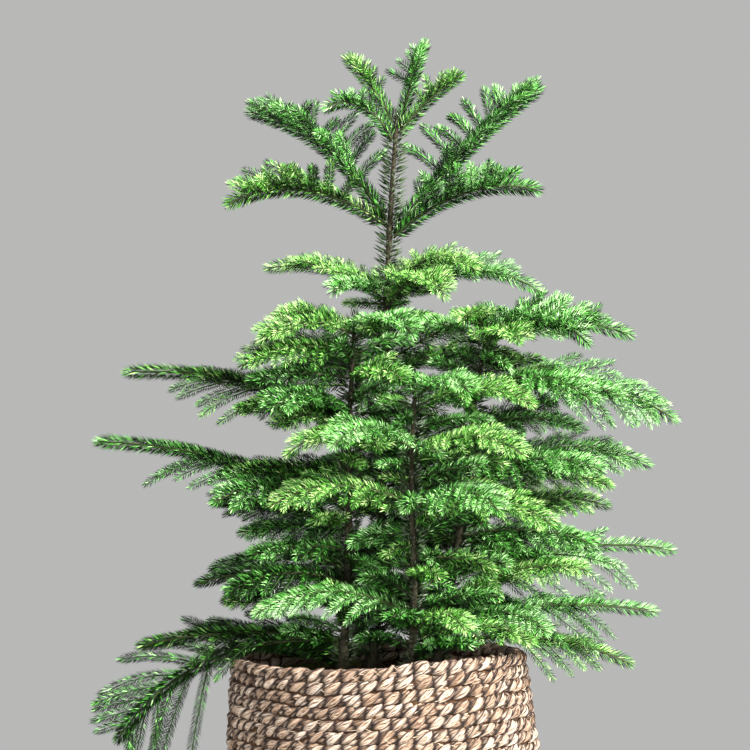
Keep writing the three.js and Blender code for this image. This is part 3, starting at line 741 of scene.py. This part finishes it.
def stem_surface(name):
    """A stem's spine and radii: radius * (1 + ridges + scales) + a swelling below each whorl."""
    lowest = SOIL_TOP - BURIED
    climb = np.linspace(0, 1, STEM_RINGS) ** RING_CROWDING
    height = lowest + (STEMS[name]["tip"][2] - lowest) * climb
    angle = 2.0 * np.pi * np.arange(STEM_SIDES) / STEM_SIDES
    ridges = sum(ripple(angle, height[:, None], **ridge) for ridge in BARK_RIDGES)
    scales = BARK_SCALES * (ridge_draw.random((STEM_RINGS, STEM_SIDES)) - 0.5)
    radius = stem_radius(name, np.maximum(height, SOIL_TOP))[:, None] * (1.0 + ridges + scales)
    for whorl in (row[1] for row in WHORLS if row[0] == name):
        below = (height - whorl + SWELLING_BELOW) / SWELLING_SPAN
        radius = radius + SWELLING * np.exp(-below ** 2)[:, None]
    return stem_point(name, height)[None], radius[None]


bark = mottled("bark", (26, 24, 15), (50, 46, 29), 3.0, 0.85, bump=0.5, specular=0.25)
stem_tubes = []
for name in STEMS:
    spine, radius = stem_surface(name)
    stem_tubes.append(tubes(spine, ALONG_X, radius, STEM_SIDES))
put_piece("stems", joined_meshes(stem_tubes), bark, stem_nodes)

# %% [markdown]
# Limbs and twigs are mostly hidden by their needles, so they need only a few sides each. The wood is
# greener the younger it is.

# %% Limbs and twigs
LIMB_SIDES = 6
LIMB_TIP_RADIUS = 0.8
LIMB_TAPER = 0.8
TWIG_SIDES = 4
TWIG_RADIUS = 0.85
TWIG_TIP_RADIUS = 0.45
limb_wood = mottled("limb_wood", (36, 47, 22), (58, 66, 34), 4.0, 0.8, bump=0.3, specular=0.3)
twig_green = mottled("twig_green", (26, 52, 18), (46, 80, 29), 5.0, 0.7, specular=0.3)
share = np.linspace(0.0, 1.0, LIMB_STEPS + 1)
foot_radius = LIMB_RADIUS + LIMB_RADIUS_PER_LENGTH * limb_lengths[:, None]
limb_radii = LIMB_TIP_RADIUS + (foot_radius - LIMB_TIP_RADIUS) * (1.0 - share) ** LIMB_TAPER
limb_tubes = tubes(limb_spines, limb_sideways, limb_radii[..., None], LIMB_SIDES)
put_piece("limbs", limb_tubes, limb_wood, bough_nodes)

twig_spines = shoots["spine"][:, ::2]
share = np.linspace(0.0, 1.0, twig_spines.shape[1])
twig_radii = np.broadcast_to(TWIG_RADIUS + (TWIG_TIP_RADIUS - TWIG_RADIUS) * share, twig_spines.shape[:2])
twig_tubes = tubes(twig_spines, shoots["across"], twig_radii[..., None], TWIG_SIDES)
put_piece("twigs", twig_tubes, twig_green, bough_nodes)

# %% [markdown]
# ## Needles
# A needle is a slim blade that curves towards the tip of its shoot: one point at its root, one at
# its end, and two at its widest place, a little above the straight line between the ends, so four
# faces make a closed body. Needles leave a shoot one after another, each turned by three eighths of
# a turn from the last, which sets them in eight neat rows. They stand out widely on old wood and
# close up round the growing tip.

# %% Spindles
SPINDLE_RISE = 0.3


def spindles(root, middle, tip, across, above, width):
    """Closed slim bodies with four faces: root, tip, and two corners beside the raised middle."""
    side = width[:, None] * across
    raised = middle + SPINDLE_RISE * width[:, None] * above
    points = np.stack([root, raised + side, raised - side, tip], axis=1)
    pattern = np.array([[0, 2, 1], [3, 1, 2], [0, 1, 3], [0, 3, 2]])
    faces = np.arange(len(root))[:, None, None] * 4 + pattern
    return points.reshape(-1, 3), faces.reshape(-1, 3)


# %% [markdown]
# The tone of a needle says how fresh its green is, with some painted light in it. It is that of its
# shoot, rises towards the shoot's growing tip, is painted a little lighter on the upper side, where
# the light falls, and differs from needle to needle.

# %% Needle tone
TIP_TONE = 0.2
TIP_TONE_PER_TONE = 0.34
TIP_REACH = 7.0
PAINTED_UPPER_LIGHT = 0.2
NEEDLE_TONE_SPREAD = 0.44
needle_draw = np.random.default_rng(2024)


def needle_tone(tone, from_tip, upward):
    """Shoot's tone + tip gain * exp(-distance from the tip) + painted light for facing up + a random part.
    """
    gain = TIP_TONE + TIP_TONE_PER_TONE * np.clip(tone, 0.0, 1.0)
    # Painted light: a needle that faces up gets a lighter tone.
    tone = tone + gain * np.exp(-from_tip / TIP_REACH) + PAINTED_UPPER_LIGHT * upward
    return tone + NEEDLE_TONE_SPREAD * needle_draw.normal(size=len(tone))


# %% Needle rule
NEEDLE_TURN = 2.0 * np.pi * 3.0 / 8.0
SHOOT_TURN = 7.0
FEWEST_NEEDLES = 4
NEEDLE_JITTER = 0.3
CLOSED_ANGLE = 0.7
ANGLE_SPREAD = 3.0
CLOSED_LENGTH = 0.3
REACH_LEAST = 0.92
REACH_SPREAD = 0.14
WIDTH_LEAST = 0.9
WIDTH_SPREAD = 0.2
NEEDLE_BEND = 0.76
ROOT_DEPTH = 0.6


def needles_on(spines, across, lengths, tone, habit):
    """Needles in rows: out at an angle to the shoot, bending in, and closed up at the shoot's tip."""
    start = habit["start"]
    counts = np.maximum(FEWEST_NEEDLES, lengths * (1.0 - start) / habit["spacing"]).astype(int)
    owner = np.repeat(np.arange(len(spines)), counts)
    number = np.arange(len(owner)) - np.repeat(np.cumsum(counts) - counts, counts)
    jitter = NEEDLE_JITTER * needle_draw.random(len(owner))
    share = start + (1.0 - start) * (number + jitter) / counts[owner]
    centre, along = along_spines(spines, owner, share)
    first = square_to(across[owner], along)
    second = np.cross(along, first)
    wander = habit["loose"] * needle_draw.normal(size=len(owner))
    turn = (NEEDLE_TURN * number + SHOOT_TURN * owner + wander)[:, None]
    out = np.cos(turn) * first + np.sin(turn) * second
    from_tip = (1.0 - share) * lengths[owner]
    closed = np.exp(-from_tip / habit["closing"])
    angle = habit["angle"] * (1.0 - CLOSED_ANGLE * closed)
    angle = np.radians(angle + ANGLE_SPREAD * needle_draw.normal(size=len(owner)))[:, None]
    reach = habit["size"][owner] * (1.0 - CLOSED_LENGTH * closed)
    reach = (reach * (REACH_LEAST + REACH_SPREAD * needle_draw.random(len(owner))))[:, None]
    early = np.cos(angle) * along + np.sin(angle) * out
    late = np.cos(NEEDLE_BEND * angle) * along + np.sin(NEEDLE_BEND * angle) * out
    root = centre + ROOT_DEPTH * habit["radius"] * out
    middle = root + 0.5 * reach * early
    beside = np.cross(along, out)
    width = habit["girth"][owner] * (WIDTH_LEAST + WIDTH_SPREAD * needle_draw.random(len(owner)))
    return dict(root=root, middle=middle, tip=middle + 0.5 * reach * late, across=beside,
                above=np.cross(beside, early), width=width, owner=owner,
                tone=needle_tone(tone[owner], from_tip, out[:, 2]))


# %% [markdown]
# A shoot's tone rises with the freshness of its bough and towards the bough's tip, and differs a
# little from shoot to shoot. Boughs that lift their shoots have longer and stouter needles. The
# fresher a bough is, the slimmer its needles are and the wider they are set. So a few numbers for
# each limb give all the needles their habit.

# %% Grow the needles
LIMB_DULLER = 0.08
SHOOT_DULLER = 0.22
FRESHER_OUTWARD = 0.38
SHOOT_TONE_SPREAD = 0.16
VIGOUR_PER_LIFT = 0.006
STOUT = 1.55
SLIMMER_PER_FRESH = 1.1
LIMB_NEEDLE = 8.8
LIMB_NEEDLE_PER_LENGTH = 0.012
SHOOT_NEEDLE = 8.7
SHORTER_PER_FRESH = 2.7
LIMB_GIRTH = 0.36
LIMB_SPACING = 0.19
LIMB_SPACING_PER_FRESH = 0.16
SHOOT_GIRTH = 0.30
SHOOT_SPACING = 0.31
SHOOT_SPACING_PER_FRESH = 0.20
YOUNG_HABIT = dict(angle=56.0, closing=5.0, loose=0.12)
limb_fresh = of_limbs("fresh")
thinned = of_limbs("thinned")
vigour = 1.0 + VIGOUR_PER_LIFT * np.maximum(0.0, of_limbs("lift"))
stout = vigour * (STOUT - SLIMMER_PER_FRESH * limb_fresh) * thinned
shoot_needle = vigour * (SHOOT_NEEDLE - SHORTER_PER_FRESH * limb_fresh) * np.sqrt(thinned)
limb_spacing = (LIMB_SPACING + LIMB_SPACING_PER_FRESH * limb_fresh) * thinned
shoot_spacing = (SHOOT_SPACING + SHOOT_SPACING_PER_FRESH * limb_fresh) * thinned
owner = shoots["owner"]
limb_habit = dict(YOUNG_HABIT, start=0.02, radius=1.3, girth=LIMB_GIRTH * stout,
                  size=vigour * (LIMB_NEEDLE + LIMB_NEEDLE_PER_LENGTH * limb_lengths),
                  spacing=limb_spacing)
shoot_habit = dict(YOUNG_HABIT, start=0.0, radius=0.8, girth=SHOOT_GIRTH * stout[owner],
                   size=shoot_needle[owner], spacing=shoot_spacing[owner])
tone_draw = np.random.default_rng(88)
shoot_tone = limb_fresh[owner] - SHOOT_DULLER + FRESHER_OUTWARD * shoots["outward"]
shoot_tone = shoot_tone + SHOOT_TONE_SPREAD * tone_draw.normal(size=len(shoot_tone))
on_limbs = needles_on(limb_spines, limb_sideways, limb_lengths, limb_fresh - LIMB_DULLER, limb_habit)
on_shoots = needles_on(shoots["spine"], shoots["across"], shoots["length"], shoot_tone, shoot_habit)
on_shoots["owner"] = owner[on_shoots["owner"]]
needles = joined([on_limbs, on_shoots])
print("needles:", len(needles["tone"]))

# %% [markdown]
# Needles are then dealt by tone to six greens, from a nearly black green, which is painted shade
# inside the crown, to lime at the newest tips; the two palest greens are whitened, as painted
# highlight. Each green comes in a cool and a warm hue, dealt out by limb, with more warm ones among
# the fresh limbs. A green with very many needles is split, to keep every piece a fair size.

# %% Greens
# Each row: name, lowest tone, and the two colours that the green wavers between
TINTS = [
    # The darkest green is painted shade.
    ("needles_shade", -9.0, (5, 15, 3), (14, 33, 7)),
    ("needles_deep", 0.26, (22, 57, 13), (40, 89, 25)),
    ("needles_mid", 0.47, (48, 112, 32), (72, 141, 48)),
    ("needles_fresh", 0.68, (76, 146, 54), (105, 172, 78)),
    # The two palest greens are whitened: painted highlight on the lit needles.
    ("needles_bright_highlight", 0.92, (112, 175, 86), (146, 199, 116)),
    ("needles_lime_highlight", 1.20, (152, 201, 122), (190, 222, 158)),
]
HUES = [("cool", (0.99, 0.98, 1.05)), ("warm", (1.04, 0.98, 0.96))]
WARM_LEAST = 0.2
WARM_PER_FRESH = 0.6
NEEDLE_GRAIN = 9.0
NEEDLE_ROUGHNESS = 0.3
NEEDLE_SHEEN = 0.14
PIECE_NEEDLES = 48000
BLADE = ("root", "middle", "tip", "across", "above", "width")
dealt = np.digitize(needles["tone"], [tint[1] for tint in TINTS[1:]])
limb_hue = (tone_draw.random(len(limbs)) < WARM_LEAST + WARM_PER_FRESH * limb_fresh).astype(int)
for number, (tint, _, dark, light) in enumerate(TINTS):
    for hue, (word, factors) in enumerate(HUES):
        name = f"{tint}_{word}"
        finish = mottled(name, np.multiply(dark, factors), np.multiply(light, factors),
                         NEEDLE_GRAIN, NEEDLE_ROUGHNESS, specular=NEEDLE_SHEEN)
        chosen = np.flatnonzero((dealt == number) & (limb_hue[needles["owner"]] == hue))
        chosen = chosen[np.argsort(needles["root"][chosen, 2], kind="stable")]
        pieces = max(1, int(np.ceil(len(chosen) / PIECE_NEEDLES)))
        for part, block in enumerate(np.array_split(chosen, pieces), start=1):
            blades = spindles(*(needles[key][block] for key in BLADE))
            put_piece(f"{name}_{part}", blades, finish, bough_nodes, smooth=False)

# %% [markdown]
# The stems carry older needles of their own, long, loose and nearly level. Their dark, dull green is
# partly their age and partly painted shade.

# %% Needles on the stems
STEM_NEEDLE_FOOT = SOIL_TOP + 14.0
STEM_NEEDLE_STEPS = 60
OLD_HABIT = dict(angle=76.0, closing=8.0, loose=1.5, start=0.0, radius=2.4, spacing=0.4,
                 size=np.array([16.0]), girth=np.array([0.62]))
# Partly painted shade: the stem needles are given a dark green.
old_needle = mottled("stem_needles", (24, 40, 20), (58, 78, 42), 7.0, 0.45, specular=0.5)
groups = []
for name, stem in STEMS.items():
    spine = stem_point(name, np.linspace(STEM_NEEDLE_FOOT, stem["tip"][2], STEM_NEEDLE_STEPS))
    length = np.array([stem["tip"][2] - STEM_NEEDLE_FOOT])
    groups.append(needles_on(spine[None], ALONG_X, length, np.array([0.0]), OLD_HABIT))
old_needles = joined(groups)
blades = spindles(*(old_needles[key] for key in BLADE))
put_piece("stem_needles", blades, old_needle, stem_nodes)

# %% [markdown]
# ## Soil
# The basket is filled almost to its rim. The top of the soil is a square grid pressed into a disc,
# which has no pole in the middle, and its height is a sum of rolling waves and crumbs. A second grid
# below it closes the body.

# %% Soil rule
SOIL_EDGE_DROP = 7.0
SOIL_EDGE_START = 88.0
SOIL_EDGE_WIDTH = 50.0
# Each row: size, then the length and the shift of its wave along X and along Y
SOIL_WAVES = [(1.3, 17.0, 1.0, 13.0, 0.0), (0.8, 6.1, 0.0, 7.3, 2.0)]


def disc_grid(radius, count):
    """A square grid bent into a disc: x = u * sqrt(1 - v*v/2), y = v * sqrt(1 - u*u/2)."""
    u, v = np.meshgrid(np.linspace(-1, 1, count), np.linspace(-1, 1, count), indexing="ij")
    return radius * u * np.sqrt(1 - v * v / 2), radius * v * np.sqrt(1 - u * u / 2)


def grid_faces(index):
    """Quads of a grid of point numbers."""
    corners = [index[:-1, :-1], index[1:, :-1], index[1:, 1:], index[:-1, 1:]]
    return np.stack(corners, axis=-1).reshape(-1, 4)


def soil_height(x, y):
    """Level in the middle, lower at the wall, with waves of about a millimetre: sin x * sin y."""
    outward = (np.hypot(x, y) - SOIL_EDGE_START) / SOIL_EDGE_WIDTH
    waves = sum(size * np.sin(x / long_x + shift_x) * np.sin(y / long_y + shift_y)
                for size, long_x, shift_x, long_y, shift_y in SOIL_WAVES)
    return SOIL_TOP - SOIL_EDGE_DROP * np.clip(outward, 0.0, 1.0) + waves


# %% Soil body
SOIL_GRID = 100
SOIL_FLOOR = 9.3
SOIL_GRAIN = 0.9
WALL_DEPTH_TOP = 11.0
WALL_DEPTH_FLOOR = 12.0
soil_draw = np.random.default_rng(5)
x, y = disc_grid(wall_radius(SOIL_TOP) - WALL_DEPTH_TOP, SOIL_GRID)
top = np.stack([x, y, soil_height(x, y) + SOIL_GRAIN * soil_draw.random(x.shape)], axis=-1)
x, y = disc_grid(wall_radius(SOIL_FLOOR) - WALL_DEPTH_FLOOR, SOIL_GRID)
bottom = np.stack([x, y, 0.0 * x + SOIL_FLOOR], axis=-1)
index = np.arange(2 * SOIL_GRID ** 2).reshape(2, SOIL_GRID, SOIL_GRID)
sides = [index[:, :-1, 0], index[:, -1, :-1], index[:, :0:-1, -1], index[:, 0, :0:-1]]
rim = np.concatenate(sides, axis=1)
skirt = np.stack([rim[0], rim[1], np.roll(rim[1], -1), np.roll(rim[0], -1)], axis=-1)
upright = np.concatenate([top.reshape(-1, 3), bottom.reshape(-1, 3)])
soil_points = lean_and_raise(upright)
soil_points[:, 2] = upright[:, 2]
soil_faces = np.concatenate([grid_faces(index[0]), grid_faces(index[1])[:, ::-1], skirt])
soil_finish = mottled("soil_finish", (22, 17, 12), (58, 46, 34), 3.5, 0.95, bump=1.5, specular=0.15)
put_piece("soil_fill", (soil_points, soil_faces), soil_finish, ["soil"])

# %% [markdown]
# Moss, dropped needles and crumbs of peat lie on the soil. All three are the needle's spindle again
# at another size, strewn at random places: moss stands up, dropped needles lie flat.

# %% Moss, dropped needles and crumbs
LITTER_SUNK = 0.4
LITTER_ARCH = 0.08
LITTER_LENGTHS = (0.6, 1.3)
LITTER_WIDTHS = (0.7, 1.3)
moss_finish = mottled("moss", (40, 52, 18), (98, 104, 44), 4.0, 0.9, specular=0.2)
dry_finish = mottled("dry_needles", (70, 44, 22), (126, 88, 50), 5.0, 0.8, specular=0.3)
crumb_finish = mottled("crumbs", (20, 15, 11), (66, 52, 38), 3.0, 0.95, specular=0.15)
# Each row: name, finish, number, range of radius and of azimuth, length, width, range of lift
LITTER = [
    ("moss", moss_finish, 5200, (72.0, 138.0), (90.0, 290.0), 6.5, 0.7, (20.0, 85.0)),
    ("dropped_needles", dry_finish, 900, (10.0, 136.0), (0.0, 360.0), 11.0, 0.6, (0.0, 12.0)),
    ("soil_crumbs", crumb_finish, 2400, (5.0, 138.0), (0.0, 360.0), 4.5, 1.5, (0.0, 50.0)),
]


def strewn_spindles(count, radii, azimuths, length, width, lifts):
    """Spindles at even random places, radius = sqrt of an even draw of its square, lifted by angle."""
    radius = np.sqrt(soil_draw.uniform(radii[0] ** 2, radii[1] ** 2, count))
    azimuth = np.radians(soil_draw.uniform(*azimuths, count))
    x, y = radius * np.cos(azimuth), radius * np.sin(azimuth)
    root = np.stack([x, y, soil_height(x, y) + LITTER_SUNK], axis=-1)
    heading = soil_draw.uniform(0.0, 2.0 * np.pi, count)
    lift = np.radians(soil_draw.uniform(*lifts, count))
    forward = level(heading)
    across = np.cross(UP, forward)
    along = np.cos(lift)[:, None] * forward + np.sin(lift)[:, None] * UP
    above = np.cross(along, across)
    size = (length * soil_draw.uniform(*LITTER_LENGTHS, count))[:, None]
    middle = root + 0.5 * size * along + LITTER_ARCH * size * above
    widths = width * soil_draw.uniform(*LITTER_WIDTHS, count)
    return spindles(root, middle, root + size * along, across, above, widths)


for name, finish, *rule in LITTER:
    put_piece(name, strewn_spindles(*rule), finish)

# %% [markdown]
# ## The basket
# The wall is built of rows, one on another, and each row is a rope of two flat strands twisted round
# each other. Seen from outside, each half turn shows as one slanting leaf-shaped stitch. A strand is
# a flat ring of points carried round the basket: its middle circles the rope's middle by
# radius + a * cos(twist) and height + b * sin(twist), its flat side always faces away from the
# rope's middle, and it narrows where it dives between its neighbours. Every stitch gets its own
# random width and offset, so no two rows look the same.

# %% Uneven stitches
SAMPLES_PER_TURN = 12
basket_draw = np.random.default_rng(31)


def smooth_draw(turns, span):
    """A random value from a span for each half turn, joined smoothly round the ring."""
    knots = basket_draw.uniform(*span, 2 * turns)
    place = np.linspace(0.0, 2.0 * turns, turns * SAMPLES_PER_TURN, endpoint=False)
    step = place.astype(int)
    blend = place - step
    blend = blend * blend * (3.0 - 2.0 * blend)
    return knots[step] * (1.0 - blend) + knots[(step + 1) % len(knots)] * blend


# %% Strand rule
STRAND_SIDES = 12
ROPE_OUT = 2.2
ROPE_UP = 2.9
STRAND_WIDTH = 5.7
STRAND_THICKNESS = 2.5
STRAND_NARROWEST = 0.62
NARROW_POWER = 0.9
STITCH_SLANT = 0.75
CREST_STRETCH = 0.36
WIDTHS = (0.8, 1.18)
THICKNESSES = (0.8, 1.2)
OUT_WANDER = (-0.9, 0.9)
UP_WANDER = (-1.4, 1.4)
ROLL_WANDER = (-0.35, 0.35)
FIBRE_RIDGES = (0.7, 1.3)


def strand_points(theta, phase, turns, radius, height, scale):
    """Ellipses along one strand, rolled with the twist and sheared sideways so that stitches slant."""
    twist = phase - CREST_STRETCH * np.sin(2.0 * phase)
    narrow = STRAND_NARROWEST + (1.0 - STRAND_NARROWEST) * np.abs(np.cos(twist)) ** NARROW_POWER
    width = STRAND_WIDTH * scale * narrow * smooth_draw(turns, WIDTHS)
    thickness = STRAND_THICKNESS * scale * smooth_draw(turns, THICKNESSES)
    out = (ROPE_OUT * scale * np.cos(twist) + smooth_draw(turns, OUT_WANDER))[:, None]
    up = (ROPE_UP * scale * np.sin(twist) + smooth_draw(turns, UP_WANDER))[:, None]
    roll = (twist + smooth_draw(turns, ROLL_WANDER))[:, None]
    angle = 2.0 * np.pi * np.arange(STRAND_SIDES) / STRAND_SIDES
    ridge = np.stack([smooth_draw(turns, FIBRE_RIDGES) for _ in angle], axis=1)
    flat = width[:, None] * np.cos(angle)
    thick = thickness[:, None] * np.sin(angle) * ridge
    ring = radius + (out + thick * np.cos(roll) - flat * np.sin(roll))
    above = up + thick * np.sin(roll) + flat * np.cos(roll)
    azimuth = theta[:, None] + STITCH_SLANT * flat * np.cos(roll) / radius
    points = np.stack([ring * np.cos(azimuth), ring * np.sin(azimuth), height + above], axis=-1)
    return points.reshape(-1, 3)


# %% Strand faces and UV
TINT_STEPS = 400


def strand_faces(phase, turns):
    """Quads round a closed strand, and their UV: u counts stitches along it, v runs across it."""
    index = np.arange(len(phase) * STRAND_SIDES).reshape(len(phase), STRAND_SIDES)
    further = np.roll(index, -1, 0)
    quads = np.stack([index, further, np.roll(further, -1, 1), np.roll(index, -1, 1)], axis=-1)
    around = np.abs(2.0 * np.arange(STRAND_SIDES) / STRAND_SIDES - 1.0)
    beside = np.roll(around, -1)
    v = np.broadcast_to(np.stack([around, around, beside, beside], axis=-1), quads.shape)
    offset = 2.0 * basket_draw.integers(0, TINT_STEPS)
    u = offset + np.append(phase, phase[0] + 2.0 * np.pi * turns) / np.pi
    u = np.stack([u[:-1], u[1:], u[1:], u[:-1]], axis=-1)[:, None]
    uv = np.stack(np.broadcast_arrays(u, v), axis=-1)
    return quads.reshape(-1, 4), uv.reshape(-1, 2)


# %% Twisted rings
STITCH = 17.3
PHASE_WANDER = (-0.35, 0.35)


def twisted_ring(radius, height, scale):
    """Two flat strands half a turn apart along a level ring; gives points, faces and UV."""
    turns = max(2, int(round(2.0 * np.pi * radius / (2.0 * STITCH))))
    theta = np.linspace(0.0, 2.0 * np.pi, turns * SAMPLES_PER_TURN, endpoint=False)
    start = basket_draw.uniform(0.0, 2.0 * np.pi)
    strands = []
    for strand in range(2):
        phase = turns * theta + start + np.pi * strand + smooth_draw(turns, PHASE_WANDER)
        points = strand_points(theta, phase, turns, radius, height, scale)
        strands.append((points, *strand_faces(phase, turns)))
    return joined_meshes(strands)


# %% [markdown]
# The strands are dried water-plant stems: pale tan, browner in places, with coarse fibres along them;
# their edges are darkened for dust and painted shade, and where a strand dives under it gets painted
# shade. Along a strand, u counts stitches and is a whole number at the middle of each, so |cos(pi * u)|
# is 1 on a crest and 0 in a dive, and the nearest whole number picks one tint for each stitch.

# %% Strand finish
# Dark brown used for dust and painted shade on the edges, and for painted shade in the dives.
DUST_AND_SHADE = colour_of(78, 50, 33)
STITCH_TINTS = [(0.0, colour_of(134, 115, 98)), (0.3, colour_of(152, 136, 121)),
                (0.7, colour_of(163, 151, 138)), (1.0, colour_of(176, 167, 157))]
FIBRE_LINES = [(0.39, colour_of(70, 44, 28)), (0.47, colour_of(204, 182, 162)), (0.58, WHITE)]
FIBRE_STRETCH = (1.3, 8.0, 1.0)
FIBRE_RELIEF = 1.6


def strand_finish():
    """One tint for each stitch, times lengthwise fibres, times edges darkened by dust and painted shade,
    times painted shade in the dives.
    """
    finish = Finish("strand_fibre", roughness=0.8, specular=0.3)
    along, across = finish.split(finish.coordinates("UV", (1.0, 1.0, 1.0)))
    stitch = finish.lone_noise(finish.maths("ROUND", along))
    tint = finish.ramp(stitch, STITCH_TINTS)
    fibres = finish.noise(finish.coordinates("UV", FIBRE_STRETCH), detail=4.0, rough=0.65)
    lines = finish.ramp(fibres, FIBRE_LINES)
    edge = finish.maths("ABSOLUTE", finish.maths("MULTIPLY_ADD", across, 2.0, -1.0))
    # Painted shade with some dust: each strand darkens towards its edges.
    edge_dust_and_shade = finish.ramp(edge, [(0.6, WHITE), (0.95, DUST_AND_SHADE)])
    crest = finish.maths("ABSOLUTE", finish.maths("COSINE", finish.maths("MULTIPLY", along, np.pi)))
    # Painted shade: each strand darkens where it dives under its neighbour.
    dive_shade = finish.ramp(crest, [(0.06, DUST_AND_SHADE), (0.4, WHITE)])
    finish.bump(fibres, FIBRE_RELIEF * MM, strength=0.9)
    return finish.paint(finish.multiply(finish.multiply(tint, lines), finish.multiply(edge_dust_and_shade, dive_shade)))


strand_fibre = strand_finish()

# %% [markdown]
# Now the rows are stacked from the floor to the rim, with the last one a little thicker, and the base
# is a set of rings one inside another. The wall is three pieces, so that none is too heavy.

# %% Weave the wall and the base
ROW_PITCH = 11.0
ROPE_HALF = 5.4
FLOOR_GAP = 0.2
BASE_GAP = 0.3
RIM_SCALE = 1.08
BASE_SCALE = 0.95
BASE_EDGE = 0.6
LOWEST = 0.05
WALL_PIECES = {"weave_lower": slice(0, 9), "weave_middle": slice(9, 18), "weave_upper": slice(18, None)}
rows = int(BASKET_HEIGHT / ROW_PITCH)
row_heights = np.linspace(ROPE_HALF + FLOOR_GAP, BASKET_HEIGHT - ROPE_HALF, rows)
wall_rings = [(float(wall_radius(height)) - WALL_MIDDLE, float(height), 1.0) for height in row_heights]
wall_rings[-1] = (*wall_rings[-1][:2], RIM_SCALE)
for name, chosen in WALL_PIECES.items():
    points, faces, uv = joined_meshes([twisted_ring(*ring) for ring in wall_rings[chosen]])
    points = lean_and_raise(points)
    points[:, 2] = np.maximum(points[:, 2], LOWEST)
    put_piece(name, (points, faces, uv), strand_fibre, ["basket"])
base_radii = np.arange(ROW_PITCH, wall_rings[0][0] - BASE_EDGE * ROW_PITCH, ROW_PITCH)
base_height = ROPE_HALF + BASE_GAP
points, faces, uv = joined_meshes([twisted_ring(radius, base_height, BASE_SCALE) for radius in base_radii])
points[:, 2] = np.maximum(points[:, 2], LOWEST)
put_piece("weave_base", (points, faces, uv), strand_fibre, ["basket"])

# %% [markdown]
# Behind the strands the wall is solid, so no light comes through the gaps, and its dark brown is
# painted shade for the hollows of the weave. This core is a profile turned round the axis: up the
# outside, over the top, down the inside and across the floor.

# %% Basket core
CORE_SIDES = 96
CORE_ROWS = 28
CORE_HALF = 1.0
CORE_SET_BACK = 1.4
CORE_FOOT = 3.0
CORE_FLOOR = 8.5
CORE_BELOW_RIM = 7.0
CORE_HOLE = 4.0
core_heights = np.linspace(CORE_FOOT, BASKET_HEIGHT - CORE_BELOW_RIM, CORE_ROWS)
core_middle = wall_radius(core_heights) - WALL_MIDDLE - CORE_SET_BACK
outside = np.stack([core_middle + CORE_HALF, core_heights], axis=-1)
inside = np.stack([core_middle - CORE_HALF, core_heights], axis=-1)[1:][::-1]
base = [[core_middle[0] - CORE_HALF, CORE_FLOOR], [CORE_HOLE, CORE_FLOOR], [CORE_HOLE, CORE_FOOT]]
profile = np.concatenate([outside, inside, base])
turn = 2.0 * np.pi * np.arange(CORE_SIDES) / CORE_SIDES
core_points = np.stack([profile[:, :1] * np.cos(turn), profile[:, :1] * np.sin(turn),
                        np.broadcast_to(profile[:, 1:], (len(profile), CORE_SIDES))], axis=-1)
index = np.arange(len(profile) * CORE_SIDES).reshape(len(profile), CORE_SIDES)
after = np.roll(index, -1, 0)
core_faces = np.stack([index, np.roll(index, -1, 1), np.roll(after, -1, 1), after], axis=-1).reshape(-1, 4)
# Painted shade: the core's dark brown stands for the shade deep in the weave.
core_shade_finish = mottled("weave_core_shade", (40, 27, 18), (74, 52, 35), 6.0, 0.95, bump=0.8, specular=0.1)
core_points = lean_and_raise(core_points.reshape(-1, 3))
put_piece("basket_core", (core_points, core_faces), core_shade_finish)

# %% [markdown]
# ## Loose fibres
# Here and there a fibre has sprung out of the weave. Each is a thin tube along a small arc that
# starts in a stitch and curls away from the wall: root + size * (tangent * s + normal * curl * sine).

# %% Loose fibres
FIBRES = 700
FIBRE_STEPS = 8
FIBRE_SIDES = 4
FIBRE_ROOT_DEPTH = 1.5
FIBRE_ROOT_RADIUS = 0.3
FIBRE_TAPER = 0.2
FIBRE_HEIGHTS = (20.0, BASKET_HEIGHT + 2.0)
FIBRE_SLOPES = (-0.9, 0.9)
FIBRE_SIZES = (4.0, 11.0)
FIBRE_CURLS = (0.06, 0.26)
FIBRE_ARC = 0.7
fibre_draw = np.random.default_rng(12)
azimuth = fibre_draw.uniform(0.0, 2.0 * np.pi, FIBRES)
height = fibre_draw.uniform(*FIBRE_HEIGHTS, FIBRES)
radius = wall_radius(height) - FIBRE_ROOT_DEPTH
normal = level(azimuth)
slope = fibre_draw.uniform(*FIBRE_SLOPES, FIBRES)
tangent = unit(np.stack([-np.sin(azimuth), np.cos(azimuth), slope], axis=-1))[:, None]
size = fibre_draw.uniform(*FIBRE_SIZES, FIBRES)[:, None, None]
curl = fibre_draw.uniform(*FIBRE_CURLS, FIBRES)[:, None, None]
share = np.linspace(0.0, 1.0, FIBRE_STEPS)
s = share[None, :, None]
root = lean_and_raise(np.stack([radius * np.cos(azimuth), radius * np.sin(azimuth), height], axis=-1))
arc = tangent * s + normal[:, None] * curl * np.sin(np.pi * FIBRE_ARC * s)
fibre_radii = np.broadcast_to(FIBRE_ROOT_RADIUS - FIBRE_TAPER * share, (FIBRES, FIBRE_STEPS))
fibre_tubes = tubes(root[:, None] + size * arc, normal, fibre_radii[..., None], FIBRE_SIDES)
fibre_finish = mottled("loose_fibre", (150, 122, 94), (214, 196, 172), 8.0, 0.85, specular=0.25)
put_piece("loose_fibres", fibre_tubes, fibre_finish)
